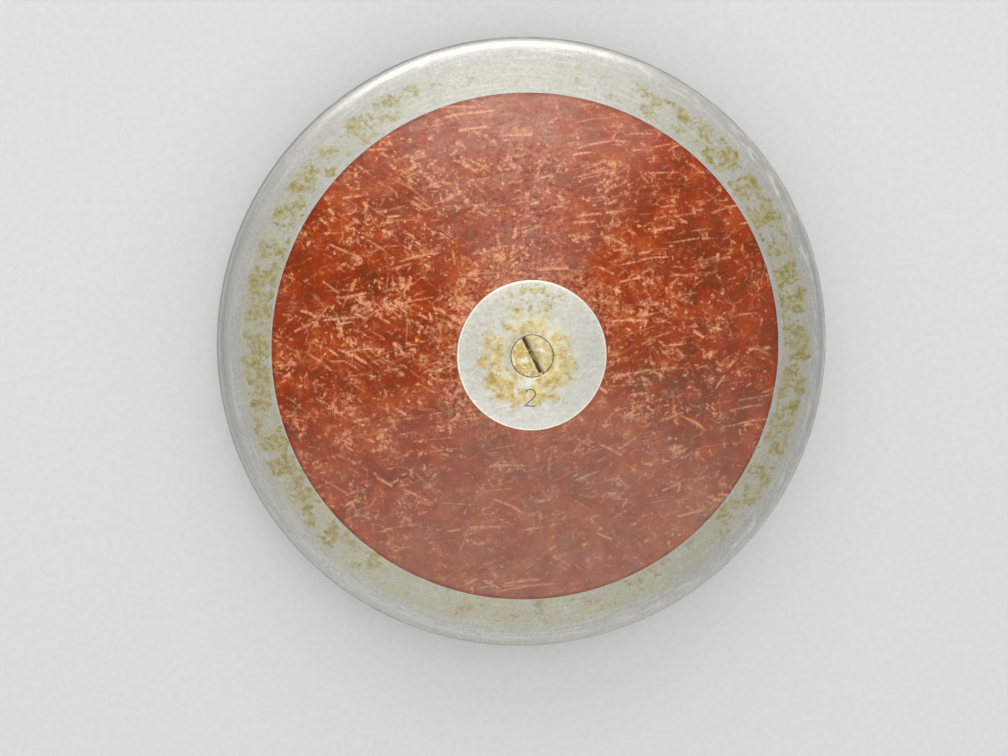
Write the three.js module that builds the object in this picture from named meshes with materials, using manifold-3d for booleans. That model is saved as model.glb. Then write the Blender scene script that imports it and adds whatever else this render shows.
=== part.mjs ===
// A 2 kg throwing discus, lying flat on its rear centre plate.
// Two turned wooden sides are glued face to face inside a steel rim, one on each side of the tongue
// that runs round the rim's inside. Dowels pass through the tongue into both sides, so the wood
// can't turn in the rim. A steel plate is let into each side at the centre. Two slotted countersunk
// screws draw the plates together on a threaded sleeve that lies on the axis, and a trim washer
// under each plate brings the discus to its mass.
//
// Millimetres. +Z is the axis of the discus, and the origin is the middle of the rear plate's face.

import * as THREE from 'three';
import { mergeVertices } from 'three/addons/utils/BufferGeometryUtils.js';
import Module from 'manifold-3d';

const wasm = await Module();
wasm.setup();

// Outer form, as the throwing rules measure it
const outerDiameter = 220;
const centreThickness = 45;
const edgeRadius = 6.25;
const plateDiameter = 52;

// Rim. Its width runs from the outer edge to the seam with the wood.
const rimWidth = 20;
const tongueWidth = 12;
const tongueThickness = 1.8;

// Wooden sides
const glueGap = 0.2;
const plateProud = 0.2;

// Centre plates
const plateThickness = 2.5;
const plateChamfer = 0.5;
const plateClearance = 0.3;

// Centre screws
const headDiameter = 14.4;
const headLand = 0.4;
const headSunk = 0.2;
const headClearance = 0.2;
const threadDiameter = 7.8;
const threadClearance = 0.15;
const screwLength = 16;
const screwTipChamfer = 0.8;
const slotWidth = 2;
const slotDepth = 1.8;
const frontSlotAngle = THREE.MathUtils.degToRad(116.6);
const rearSlotAngle = THREE.MathUtils.degToRad(38);

// Sleeve on the axis
const sleeveDiameter = 14;
const sleeveClearance = 0.2;
const sleeveEndGap = 0.5;

// Trim washers
const trimDiameter = 30;
const trimThickness = 1.5;
const trimClearance = 0.3;

// Dowels
const dowelCount = 6;
const dowelDiameter = 6;
const dowelLength = 16;
const dowelChamfer = 0.6;
const dowelClearance = 0.2;
const dowelEndGap = 0.3;

// How finely round faces are divided, and how far a cutting shape runs past what it cuts
const largeRoundSides = 96;
const plateSides = 64;
const smallRoundSides = 32;
const edgeArcSteps = 10;
const cutOverrun = 1;

// Radii and heights that follow from the sizes above. Heights are measured from the middle plane.
const outerRadius = outerDiameter / 2;
const halfThickness = centreThickness / 2;
const plateRadius = plateDiameter / 2;
const seamRadius = outerRadius - rimWidth;
const edgeCentreRadius = outerRadius - edgeRadius;
const tongueInnerRadius = seamRadius - tongueWidth;
const tongueHalf = tongueThickness / 2;
const headRadius = headDiameter / 2;
const headTop = halfThickness - headSunk;
const headLandBottom = headTop - headLand;
const threadRadius = threadDiameter / 2;
const sinkRadius = headRadius + headClearance;
const plateUnderside = halfThickness - plateThickness;
const trimUnderside = plateUnderside - trimThickness;
const sleeveRadius = sleeveDiameter / 2;
const sleeveHoleRadius = sleeveRadius + sleeveClearance;
const dowelRadius = dowelDiameter / 2;
const dowelCircleRadius = seamRadius - tongueWidth / 2;

// The straight flank runs from the plate's edge to the rounded edge, and is tangent to the round.
const flankRun = edgeCentreRadius - plateRadius;
const flankAngle = Math.atan2(halfThickness, flankRun)
  - Math.asin(edgeRadius / Math.hypot(flankRun, halfThickness));

function flankHeight(radius) {
  return halfThickness - (radius - plateRadius) * Math.tan(flankAngle);
}

// The countersink under a screw's head is a 90 degree cone, so radius and height change alike.
function sinkRadiusAt(height) {
  return sinkRadius - (headLandBottom - height);
}

// A body of revolution about Z from [radius, height] points. Side is 1 for a front piece and -1 for
// its mirror image at the rear. An outline that doesn't start on the axis closes on itself.
function turned(outline, side, sides) {
  const points = outline.map(([radius, height]) => new THREE.Vector2(radius, side * height));
  if (THREE.ShapeUtils.isClockWise(points)) {
    points.reverse();
  }
  if (outline[0][0] !== 0) {
    points.push(points[0].clone());
  }
  const geometry = new THREE.LatheGeometry(points, sides);
  return geometry.rotateX(Math.PI / 2);
}

function solidFrom(geometry) {
  const bare = geometry.clone();
  bare.deleteAttribute('normal');
  bare.deleteAttribute('uv');
  const merged = mergeVertices(bare);
  return new wasm.Manifold(new wasm.Mesh({
    numProp: 3,
    vertProperties: merged.attributes.position.array,
    triVerts: Uint32Array.from(merged.index.array),
  }));
}

function cut(geometry, tools) {
  let solid = solidFrom(geometry);
  for (const tool of tools) {
    solid = solid.subtract(solidFrom(tool));
  }
  const mesh = solid.getMesh();
  const result = new THREE.BufferGeometry();
  result.setAttribute('position', new THREE.BufferAttribute(mesh.vertProperties, 3));
  result.setIndex(new THREE.BufferAttribute(mesh.triVerts, 1));
  result.computeVertexNormals();
  return result;
}

// The places of the dowels, on a circle in the middle of the rim's tongue.
function dowelPlaces() {
  return Array.from({ length: dowelCount }, (_, index) => {
    const angle = (index / dowelCount) * 2 * Math.PI;
    return new THREE.Vector2(Math.cos(angle), Math.sin(angle)).multiplyScalar(dowelCircleRadius);
  });
}

// Drills for the dowels' holes, which reach the same depth into both wooden sides.
function dowelDrills() {
  const drillRadius = dowelRadius + dowelClearance;
  const drillLength = dowelLength + 2 * dowelEndGap;
  return dowelPlaces().map((place) => {
    const drill = new THREE.CylinderGeometry(drillRadius, drillRadius, drillLength, smallRoundSides);
    return drill.rotateX(Math.PI / 2).translate(place.x, place.y, 0);
  });
}

function rimGeometry() {
  const arcHalfAngle = Math.PI / 2 - flankAngle;
  const edgeArc = Array.from({ length: edgeArcSteps + 1 }, (_, step) => {
    const angle = THREE.MathUtils.lerp(-arcHalfAngle, arcHalfAngle, step / edgeArcSteps);
    return [edgeCentreRadius + edgeRadius * Math.cos(angle), edgeRadius * Math.sin(angle)];
  });
  const outline = [
    [tongueInnerRadius, -tongueHalf],
    [seamRadius, -tongueHalf],
    [seamRadius, -flankHeight(seamRadius)],
    ...edgeArc,
    [seamRadius, flankHeight(seamRadius)],
    [seamRadius, tongueHalf],
    [tongueInnerRadius, tongueHalf],
  ];
  return cut(turned(outline, 1, largeRoundSides), dowelDrills());
}

// The wood stands a little below the plate at the plate's edge, and flush with the rim at the seam.
function woodSideGeometry(side) {
  const woodRadius = seamRadius - glueGap;
  const stepRadius = tongueInnerRadius - glueGap;
  const stepHeight = tongueHalf + glueGap;
  const recessRadius = plateRadius + plateClearance;
  const trimRecessRadius = trimDiameter / 2 + trimClearance;
  const outline = [
    [sleeveHoleRadius, 0],
    [stepRadius, 0],
    [stepRadius, stepHeight],
    [woodRadius, stepHeight],
    [woodRadius, flankHeight(woodRadius)],
    [recessRadius, flankHeight(recessRadius) - plateProud],
    [recessRadius, plateUnderside],
    [trimRecessRadius, plateUnderside],
    [trimRecessRadius, trimUnderside],
    [sleeveHoleRadius, trimUnderside],
  ];
  return cut(turned(outline, side, largeRoundSides), dowelDrills());
}

function plateGeometry(side) {
  const outline = [
    [sinkRadiusAt(plateUnderside), plateUnderside],
    [plateRadius, plateUnderside],
    [plateRadius, halfThickness - plateChamfer],
    [plateRadius - plateChamfer, halfThickness],
    [sinkRadius, halfThickness],
    [sinkRadius, headLandBottom],
  ];
  return turned(outline, side, plateSides);
}

function trimWasherGeometry(side) {
  const outline = [
    [sleeveHoleRadius, trimUnderside],
    [trimDiameter / 2, trimUnderside],
    [trimDiameter / 2, plateUnderside],
    [sleeveHoleRadius, plateUnderside],
  ];
  return turned(outline, side, smallRoundSides);
}

function screwGeometry(side, slotAngle) {
  const tipHeight = headTop - screwLength;
  const coneBottom = headLandBottom - (headRadius - threadRadius);
  const outline = [
    [0, tipHeight],
    [threadRadius - screwTipChamfer, tipHeight],
    [threadRadius, tipHeight + screwTipChamfer],
    [threadRadius, coneBottom],
    [headRadius, headLandBottom],
    [headRadius, headTop],
    [0, headTop],
  ];
  const slotTool = new THREE.BoxGeometry(headDiameter + cutOverrun, slotWidth, slotDepth + cutOverrun);
  slotTool.rotateZ(slotAngle);
  slotTool.translate(0, 0, side * (headTop + (cutOverrun - slotDepth) / 2));
  return cut(turned(outline, side, smallRoundSides), [slotTool]);
}

// Each end of the bore is countersunk for the lower part of a screw's head, which reaches through
// the plate.
function sleeveGeometry() {
  const boreRadius = threadRadius + threadClearance;
  const sleeveTop = plateUnderside - sleeveEndGap;
  const mouthRadius = sinkRadiusAt(sleeveTop);
  const mouthBottom = headLandBottom - (sinkRadius - boreRadius);
  const outline = [
    [boreRadius, -mouthBottom],
    [mouthRadius, -sleeveTop],
    [sleeveRadius, -sleeveTop],
    [sleeveRadius, sleeveTop],
    [mouthRadius, sleeveTop],
    [boreRadius, mouthBottom],
  ];
  return turned(outline, 1, smallRoundSides);
}

function dowelGeometry() {
  const dowelTop = dowelLength / 2;
  const outline = [
    [0, -dowelTop],
    [dowelRadius - dowelChamfer, -dowelTop],
    [dowelRadius, dowelChamfer - dowelTop],
    [dowelRadius, dowelTop - dowelChamfer],
    [dowelRadius - dowelChamfer, dowelTop],
    [0, dowelTop],
  ];
  return turned(outline, 1, smallRoundSides);
}

const platedSteel = new THREE.MeshStandardMaterial({ color: 0xb2b8b6, roughness: 0.4, metalness: 1 });
const brightPlate = new THREE.MeshStandardMaterial({ color: 0xcdcdc8, roughness: 0.35, metalness: 1 });
const yellowPassivate = new THREE.MeshStandardMaterial({ color: 0xc8b878, roughness: 0.4, metalness: 1 });
const plainSteel = new THREE.MeshStandardMaterial({ color: 0x8e9194, roughness: 0.5, metalness: 1 });
const redLacquer = new THREE.MeshStandardMaterial({ color: 0x9e4a2c, roughness: 0.35, metalness: 0 });
const bareBeech = new THREE.MeshStandardMaterial({ color: 0xd3ab76, roughness: 0.7, metalness: 0 });

// Every piece is drawn about the middle plane, and this group lifts them so that the rear plate's
// face lies at zero height.
const pieces = new THREE.Group();
pieces.position.z = halfThickness;

function addPiece(name, geometry, material) {
  const piece = new THREE.Mesh(geometry, material);
  piece.name = name;
  pieces.add(piece);
  return piece;
}

function addSide(sideName, side, slotAngle) {
  addPiece(`${sideName}_wood_side`, woodSideGeometry(side), redLacquer);
  addPiece(`${sideName}_centre_plate`, plateGeometry(side), brightPlate);
  addPiece(`${sideName}_centre_screw`, screwGeometry(side, slotAngle), yellowPassivate);
  addPiece(`${sideName}_trim_washer`, trimWasherGeometry(side), plainSteel);
}

addPiece('rim', rimGeometry(), platedSteel);
addSide('front', 1, frontSlotAngle);
addSide('rear', -1, rearSlotAngle);
addPiece('centre_sleeve', sleeveGeometry(), plainSteel);
dowelPlaces().forEach((place, index) => {
  const dowel = addPiece(`dowel_${index + 1}`, dowelGeometry(), bareBeech);
  dowel.position.set(place.x, place.y, 0);
});

const discus = new THREE.Group();
discus.name = 'discus';
discus.add(pieces);

export default discus;
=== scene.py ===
"""A 2 kg throwing discus of lacquered wood in a plated steel rim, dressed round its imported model.

The file is laid out as an add-on and run as a script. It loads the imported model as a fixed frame,
registers its panel and operators, and runs each operator once. Heights are in metres in the
frame's own axes: +Z is the axis of the discus, and the rear plate rests on the floor at zero.
"""

import math
from types import SimpleNamespace

import bmesh
import bpy
import numpy as np
from mathutils import Matrix, Vector, noise


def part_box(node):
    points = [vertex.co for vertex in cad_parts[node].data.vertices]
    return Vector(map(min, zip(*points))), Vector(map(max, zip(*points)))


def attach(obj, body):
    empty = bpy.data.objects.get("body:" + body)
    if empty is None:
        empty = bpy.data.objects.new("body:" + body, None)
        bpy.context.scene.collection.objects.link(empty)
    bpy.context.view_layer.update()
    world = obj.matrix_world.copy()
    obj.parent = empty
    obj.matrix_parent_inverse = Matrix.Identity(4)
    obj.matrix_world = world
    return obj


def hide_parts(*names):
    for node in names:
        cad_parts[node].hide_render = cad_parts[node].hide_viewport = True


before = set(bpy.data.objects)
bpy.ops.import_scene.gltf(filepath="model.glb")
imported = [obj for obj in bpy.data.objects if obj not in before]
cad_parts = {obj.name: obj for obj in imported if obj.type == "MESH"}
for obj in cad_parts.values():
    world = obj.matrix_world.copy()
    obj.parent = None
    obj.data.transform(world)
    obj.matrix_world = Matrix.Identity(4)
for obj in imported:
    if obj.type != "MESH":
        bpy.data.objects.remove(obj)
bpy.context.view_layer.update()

bl_info = {
    "name": "Throwing discus",
    "version": (1, 0, 0),
    "blender": (4, 5, 0),
    "location": "3D View > Sidebar > Discus",
    "description": "Makes a worn wooden throwing discus with a plated steel rim",
    "category": "Object",
}

MM = 0.001

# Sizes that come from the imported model
rim_low, rim_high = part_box("rim")
wood_low, wood_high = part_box("front_wood_side")
plate_low, plate_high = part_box("front_centre_plate")
screw_low, screw_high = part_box("front_centre_screw")
washer_low, washer_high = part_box("front_trim_washer")
sleeve_low, sleeve_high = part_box("centre_sleeve")
dowel_low, dowel_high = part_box("dowel_1")
MIDDLE_HEIGHT = (rim_low.z + rim_high.z) / 2
OUTER_RADIUS = rim_high.x
WOOD_RADIUS = wood_high.x
PLATE_RADIUS = plate_high.x
HEAD_RADIUS = screw_high.x
WASHER_RADIUS = washer_high.x
SLEEVE_RADIUS = sleeve_high.x
DOWEL_RADIUS = (dowel_high.x - dowel_low.x) / 2
DOWEL_CIRCLE = (dowel_high.x + dowel_low.x) / 2
DOWEL_LENGTH = dowel_high.z - dowel_low.z
PLATE_TOP = plate_high.z - MIDDLE_HEIGHT
PLATE_UNDERSIDE = plate_low.z - MIDDLE_HEIGHT
WASHER_UNDERSIDE = washer_low.z - MIDDLE_HEIGHT
HEAD_TOP = screw_high.z - MIDDLE_HEIGHT
SCREW_TIP = screw_low.z - MIDDLE_HEIGHT
DOWEL_COUNT = sum(name.startswith("dowel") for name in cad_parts)

# The two sides of the discus, with the way along +Z that each faces
SIDES = (("front", 1), ("rear", -1))

# Sizes of the working, which show nowhere on the object
WELD_DISTANCE = 0.0005 * MM
SMOOTH_ANGLE = math.radians(30)
DRILL_SIDES = 32


def linear(code):
    """The linear colour of an sRGB hex value such as 9c3f20."""
    shares = [int(code[start:start + 2], 16) / 255 for start in (0, 2, 4)]
    return tuple(s / 12.92 if s <= 0.04045 else ((s + 0.055) / 1.055) ** 2.4 for s in shares)


def length(name, description, default):
    """A length property in metres."""
    return bpy.props.FloatProperty(
        name=name, description=description, default=default, unit="LENGTH", subtype="DISTANCE"
    )


def colour(name, description, code):
    """A colour property from an sRGB hex value."""
    return bpy.props.FloatVectorProperty(
        name=name, description=description, default=linear(code), size=3, min=0, max=1, subtype="COLOR"
    )


class DiscusSizes(bpy.types.PropertyGroup):
    """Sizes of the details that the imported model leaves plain."""

    edge_radius: length("Edge radius", "Round of the rim's outer edge", 6.25 * MM)
    seam_gap: length("Seam gap", "Gap between the wood and the rim", 0.02 * MM)
    seam_round: length("Seam round", "Worn round of the wood's and the rim's edges at the seam", 0.05 * MM)
    tongue_width: length("Tongue width", "Reach of the rim's tongue into the wood", 12 * MM)
    tongue_thickness: length("Tongue thickness", "Thickness of the rim's tongue", 1.8 * MM)
    plate_clearance: length("Plate clearance", "Room round a centre plate in its recess", 0.05 * MM)
    plate_chamfer: length("Plate chamfer", "Bevel round a centre plate's face", 0.45 * MM)
    plate_step: length("Plate step", "How far a plate stands above the worn wood beside it", 0.35 * MM)
    worn_width: length("Worn width", "Width of the worn wood round a plate", 3 * MM)
    head_land: length("Head land", "Straight edge of a screw's head above its cone", 0.4 * MM)
    head_clearance: length("Head clearance", "Room round a screw's head", 0.2 * MM)
    thread_radius: length("Thread radius", "Radius of a screw's shank", 3.9 * MM)
    slot_width: length("Slot width", "Width of a screw's slot", 1.1 * MM)
    slot_bevel: length("Slot bevel", "Width of the lip that drivers have worn beside a slot", 0.85 * MM)
    slot_depth: length("Slot depth", "Depth of a screw's slot", 1.2 * MM)
    fit_clearance: length("Fit clearance", "Room round the sleeve and the dowels", 0.2 * MM)
    dowel_end_gap: length("Dowel end gap", "Room past the end of each dowel", 0.3 * MM)
    numeral_height: length("Numeral height", "Height of the stamped numeral", 5.8 * MM)
    numeral_stroke: length("Numeral stroke", "Width of the stamped numeral's stroke", 0.52 * MM)
    numeral_depth: length("Numeral depth", "Depth of the stamped numeral", 0.3 * MM)
    dish_width: length("Dish width", "Width of the hollow drawn into a plate round its screw", 5 * MM)
    dish_depth: length("Dish depth", "Depth of that hollow at the screw", 0.26 * MM)


class DiscusColours(bpy.types.PropertyGroup):
    """Colours of the discus's finishes."""

    lacquer_red: colour("Lacquer red", "Sound brick-red lacquer", "9a340d")
    lacquer_orange: colour("Lacquer orange", "Lacquer where it lies thin and orange", "b24c12")
    lacquer_brown: colour("Lacquer brown", "Lacquer darkened by dirt and handling", "7a320e")
    # The veil colours are partly rubbed lacquer and partly a painted reflection on the lower half.
    lacquer_veil_and_reflection: colour("Lacquer veil", "Lacquer rubbed dull and pinkish", "aa8b7d")
    lacquer_dusk: colour("Lacquer dusk", "Rubbed lacquer with dirt in it", "a07d6f")
    # Lacquer haze is partly fine pale scuffing and partly a painted sheen of the light at the top.
    lacquer_haze_and_sheen: colour("Lacquer haze", "Fine scuffing that leaves the lacquer pale", "d8a592")
    scratch_pink: colour("Scratch pink", "Scratch down to the pale ground coat", "f2a37c")
    # This scratch colour is a pale scratch with the painted sheen laid over it.
    scratch_sheened: colour("Scratch fresh", "Scratch that lies over the haze", "f5b496")
    scratch_tan: colour("Scratch tan", "Scratch down to the ground coat over bare wood", "e9a977")
    scratch_cream: colour("Scratch cream", "Scratch down to the wood", "e6a468")
    seam_crimson: colour("Seam crimson", "Thick lacquer and dirt held along the seam", "6e1f26")
    zinc: colour("Zinc", "Bare zinc plate", "cccbc4")
    zinc_dull: colour("Zinc dull", "Zinc plate gone dull", "b6b7b1")
    zinc_bright: colour("Zinc bright", "Zinc plate freshly rubbed or scratched", "e4e2d9")
    passivate: colour("Passivate", "Yellow passivation left on the zinc", "a29352")
    passivate_pale: colour("Passivate pale", "Yellow passivation worn thin", "c2bb9a")
    passivate_gold: colour("Passivate gold", "Golden passivation on the plates and screws", "b39a5a")
    passivate_cream: colour("Passivate cream", "Golden passivation rubbed thin", "d3c597")
    passivate_deep: colour("Passivate deep", "Golden passivation where it lies thick", "927a36")
    grime: colour("Grime", "Brown grime in the metal's marks", "5a4628")
    steel: colour("Plain steel", "Turned steel with no plating", "8e9194")
    beech: colour("Bare beech", "Dowels of bare beech", "d3ab76")
    # Edge bright is also used for a painted highlight on the plates' rounded edges.
    edge_bright: colour("Edge bright", "Zinc worn bright on edges and in scratches", "efdecb")
    floor: colour("Floor", "Pale floor", "e4e4e2")


def outline_is_clockwise(points):
    """True if a closed outline of (radius, height) points runs clockwise."""
    ahead = points[1:] + points[:1]
    return sum(a[0] * b[1] - b[0] * a[1] for a, b in zip(points, ahead)) < 0


def rounded_outline(corners, steps=6):
    """Points of a closed outline from (radius, height, round) corners, each drawn as an arc."""
    points = []
    for index, (radius, height, rounding) in enumerate(corners):
        here = Vector((radius, height))
        if not rounding:
            points.append(tuple(here))
            continue
        before = (Vector(corners[index - 1][:2]) - here).normalized()
        after = (Vector(corners[(index + 1) % len(corners)][:2]) - here).normalized()
        half = before.angle(after) / 2
        start = here + before * (rounding / math.tan(half))
        end = here + after * (rounding / math.tan(half))
        centre = here + (before + after).normalized() * (rounding / math.sin(half))
        for step in range(steps + 1):
            spoke = (start - centre).lerp(end - centre, step / steps).normalized() * rounding
            points.append(tuple(centre + spoke))
    return points


def divided_outline(points, spacing, reaches):
    """The outline with extra points where its stretches lie inside the radii that are reached."""
    low, high = reaches
    divided = []
    for here, ahead in zip(points, points[1:] + points[:1]):
        divided.append(here)
        run = math.dist(here, ahead)
        if run > spacing and low <= min(here[0], ahead[0]) and max(here[0], ahead[0]) <= high:
            count = math.ceil(run / spacing)
            for step in range(1, count):
                share = step / count
                divided.append(tuple(a + (b - a) * share for a, b in zip(here, ahead)))
    return divided


def mesh_from(name, form):
    """A mesh with what a bmesh holds. The bmesh is used up."""
    mesh = bpy.data.meshes.new(name)
    form.to_mesh(mesh)
    form.free()
    return mesh


def lofted_mesh(name, rings):
    """A closed solid through rings of points, made of triangles."""
    solid = bmesh.new()
    rings = [[solid.verts.new(point) for point in ring] for ring in rings]
    for here, ahead in zip(rings, rings[1:]):
        for index in range(len(here)):
            after = (index + 1) % len(here)
            solid.faces.new((here[index], here[after], ahead[after], ahead[index]))
    solid.faces.new(rings[0])
    solid.faces.new(rings[-1][::-1])
    bmesh.ops.recalc_face_normals(solid, faces=solid.faces)
    bmesh.ops.triangulate(solid, faces=solid.faces)
    return mesh_from(name, solid)


def turned_mesh(name, outline, sides, side=1):
    """A mesh of revolution from a closed (radius, height) outline. Side is -1 for a rear piece."""
    points = [(radius, side * height) for radius, height in outline]
    if outline_is_clockwise(points):
        points.reverse()
    rings = np.array(points)
    angles = np.arange(sides) * 2 * math.pi / sides
    vertices = np.empty((len(rings), sides, 3))
    vertices[..., 0] = rings[:, :1] * np.cos(angles)
    vertices[..., 1] = rings[:, :1] * np.sin(angles)
    vertices[..., 2] = rings[:, 1:] + MIDDLE_HEIGHT
    ring, spoke = np.meshgrid(np.arange(len(rings)), np.arange(sides), indexing="ij")
    next_ring = (ring + 1) % len(rings)
    next_spoke = (spoke + 1) % sides
    corners = [ring * sides + spoke, ring * sides + next_spoke,
               next_ring * sides + next_spoke, next_ring * sides + spoke]
    faces = np.stack(corners, axis=-1).reshape(-1, 4)
    mesh = bpy.data.meshes.new(name)
    mesh.from_pydata(vertices.reshape(-1, 3).tolist(), [], faces.tolist())
    weld = bmesh.new()
    weld.from_mesh(mesh)
    bmesh.ops.remove_doubles(weld, verts=weld.verts, dist=WELD_DISTANCE)
    weld.to_mesh(mesh)
    weld.free()
    return mesh


def piece_from(mesh, material, slot, *nodes):
    """Links a mesh as a piece of the discus that stands for CAD nodes."""
    piece = bpy.data.objects.new(mesh.name, mesh)
    bpy.context.scene.collection.objects.link(piece)
    mesh.materials.append(material)
    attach(piece, "root")
    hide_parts(*nodes)
    return piece


def shade(piece):
    """Smooth shading with edges kept crisp where the surface turns sharply."""
    piece.data.shade_smooth()
    piece.data.set_sharp_from_angle(angle=SMOOTH_ANGLE)


def cut_away(piece, tools):
    """Cuts tool meshes out of a piece, and removes the tools."""
    for tool_mesh in tools:
        tool = bpy.data.objects.new(tool_mesh.name, tool_mesh)
        bpy.context.scene.collection.objects.link(tool)
        cut = piece.modifiers.new("cut", "BOOLEAN")
        cut.operation = "DIFFERENCE"
        cut.solver = "MANIFOLD"
        cut.object = tool
        graph = bpy.context.evaluated_depsgraph_get()
        result = bpy.data.meshes.new_from_object(piece.evaluated_get(graph))
        piece.modifiers.remove(cut)
        old, piece.data = piece.data, result
        result.name = old.name = piece.name
        bpy.data.objects.remove(tool)
        bpy.data.meshes.remove(tool_mesh)
        bpy.data.meshes.remove(old)


def shift_vertices(mesh, shift):
    """Moves every vertex by what shift returns for the array of all of them."""
    places = np.empty(len(mesh.vertices) * 3)
    mesh.vertices.foreach_get("co", places)
    places = places.reshape(-1, 3)
    places += shift(places)
    mesh.vertices.foreach_set("co", places.ravel())
    mesh.update()


def flank_angle(sizes):
    """Slope of the straight flank, which is tangent to the rim's rounded edge."""
    run = OUTER_RADIUS - sizes.edge_radius - PLATE_RADIUS
    return math.atan2(PLATE_TOP, run) - math.asin(sizes.edge_radius / math.hypot(run, PLATE_TOP))


def flank_height(sizes, radius):
    """Height of the flank above the middle plane."""
    return PLATE_TOP - (radius - PLATE_RADIUS) * math.tan(flank_angle(sizes))


def dowel_drills(sizes):
    """Drills for the dowels' holes."""
    drills = []
    for index in range(DOWEL_COUNT):
        angle = 2 * math.pi * index / DOWEL_COUNT
        place = Vector((DOWEL_CIRCLE * math.cos(angle), DOWEL_CIRCLE * math.sin(angle), MIDDLE_HEIGHT))
        drill = bmesh.new()
        bmesh.ops.create_cone(
            drill,
            cap_ends=True,
            segments=DRILL_SIDES,
            radius1=DOWEL_RADIUS + sizes.fit_clearance,
            radius2=DOWEL_RADIUS + sizes.fit_clearance,
            depth=DOWEL_LENGTH + 2 * sizes.dowel_end_gap,
            matrix=Matrix.Translation(place),
        )
        drills.append(mesh_from("drill", drill))
    return drills


def add(tree, kind, inputs=None, **settings):
    """Adds a shader node, sets its properties, and fills or links its inputs by name or number."""
    made = tree.nodes.new(kind)
    for name, value in settings.items():
        setattr(made, name, value)
    for key, value in (inputs or {}).items():
        if isinstance(value, bpy.types.Node):
            value = value.outputs[0]
        if isinstance(value, bpy.types.NodeSocket):
            tree.links.new(value, made.inputs[key])
        else:
            made.inputs[key].default_value = value
    return made


def set_stops(ramp, stops, interpolation="LINEAR"):
    """Gives a colour ramp its stops from (place, value) pairs, where a value is a grey or a colour."""
    band = ramp.color_ramp
    band.interpolation = interpolation
    while len(band.elements) > 1:
        band.elements.remove(band.elements[-1])
    for index, (place, value) in enumerate(stops):
        element = band.elements[0] if index == 0 else band.elements.new(place)
        element.position = place
        element.color = (*np.broadcast_to(value, 3), 1)


def new_material(name):
    """An empty node material with its shader and output."""
    material = bpy.data.materials.new(name)
    material.use_nodes = True
    tree = material.node_tree
    tree.nodes.clear()
    shader = add(tree, "ShaderNodeBsdfPrincipled")
    add(tree, "ShaderNodeOutputMaterial", {"Surface": shader})
    return material, tree, shader


def surface_places(tree, turn_offset=0.0):
    """Where a point lies: in mm, as a radius in mm, and as a share of a full turn from +X."""
    coordinates = add(tree, "ShaderNodeTexCoord")
    place = add(tree, "ShaderNodeVectorMath", {0: coordinates.outputs["Object"], "Scale": 1 / MM},
                operation="SCALE")
    parts = add(tree, "ShaderNodeSeparateXYZ", {0: place})
    flat = add(tree, "ShaderNodeCombineXYZ", {0: parts.outputs[0], 1: parts.outputs[1]})
    radius = add(tree, "ShaderNodeVectorMath", {0: flat}, operation="LENGTH")
    angle = add(tree, "ShaderNodeMath", {0: parts.outputs[1], 1: parts.outputs[0]}, operation="ARCTAN2")
    turns = add(tree, "ShaderNodeMath", {0: angle, 1: 1 / (2 * math.pi), 2: 1 + turn_offset},
                operation="MULTIPLY_ADD")
    turn = add(tree, "ShaderNodeMath", {0: turns}, operation="FRACT")
    return SimpleNamespace(place=place.outputs[0], radius=radius.outputs["Value"], turn=turn.outputs[0],
                           height=parts.outputs[2])


def product(tree, *values):
    """Several values multiplied together."""
    result = values[0]
    for value in values[1:]:
        result = add(tree, "ShaderNodeMath", {0: result, 1: value}, operation="MULTIPLY").outputs[0]
    return result


def weighted_sum(tree, *pairs):
    """The sum of several (value, weight) pairs."""
    result = 0.0
    for value, weight in pairs:
        result = add(tree, "ShaderNodeMath", {0: value, 1: weight, 2: result},
                     operation="MULTIPLY_ADD").outputs[0]
    return result


def strongest_of(tree, *values):
    """The greatest of several values."""
    result = values[0]
    for value in values[1:]:
        result = add(tree, "ShaderNodeMath", {0: result, 1: value}, operation="MAXIMUM").outputs[0]
    return result


def share_left(tree, share):
    """What a share leaves of the whole."""
    return add(tree, "ShaderNodeMath", {0: 1, 1: share}, operation="SUBTRACT").outputs[0]


def smooth_range(tree, value, from_low, from_high, to_low=0.0, to_high=1.0):
    """The value stretched smoothly from one range to another."""
    return add(tree, "ShaderNodeMapRange", {0: value, 1: from_low, 2: from_high, 3: to_low, 4: to_high},
               interpolation_type="SMOOTHSTEP").outputs[0]


def over_span(tree, radius, edge_mm, span_mm, to_low=0.0, to_high=1.0):
    """A smooth change over a span of radii, given in mm outwards from an edge."""
    low_mm, high_mm = span_mm
    return smooth_range(tree, radius, edge_mm + low_mm, edge_mm + high_mm, to_low, to_high)


def ramp_over(tree, value, low, high, stops):
    """A smooth curve of listed (place, value) stops over a value between low and high."""
    share = add(tree, "ShaderNodeMapRange", {0: value, 1: low, 2: high})
    ramp = add(tree, "ShaderNodeValToRGB", {0: share})
    set_stops(ramp, stops, "EASE")
    return ramp.outputs[0]


def by_turn(tree, at, stops):
    """A smooth curve round the axis, from (share of a turn from +X, value) stops."""
    return ramp_over(tree, at.turn, 0, 1, stops)


def blend_colour(tree, share, first, second):
    """A mix of two colours or sockets by a share."""
    mix = add(tree, "ShaderNodeMix", {"Factor": share}, data_type="RGBA")
    for socket, value in ((mix.inputs[6], first), (mix.inputs[7], second)):
        if isinstance(value, bpy.types.NodeSocket):
            tree.links.new(value, socket)
        else:
            socket.default_value = (*value, 1)
    return mix.outputs[2]


def laid_over(tree, base, colour, *shares):
    """The base with a colour laid over it, as strongly as the product of the shares."""
    return blend_colour(tree, product(tree, *shares), base, colour)


def noise_step(tree, place, size_mm, low, high, detail=3, roughness=0.55):
    """Noise of a real size, stretched so that low becomes 0 and high becomes 1."""
    grain = add(tree, "ShaderNodeTexNoise", {"Vector": place, "Scale": 1 / size_mm, "Detail": detail,
                                             "Roughness": roughness})
    return smooth_range(tree, grain, low, high)


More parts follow.
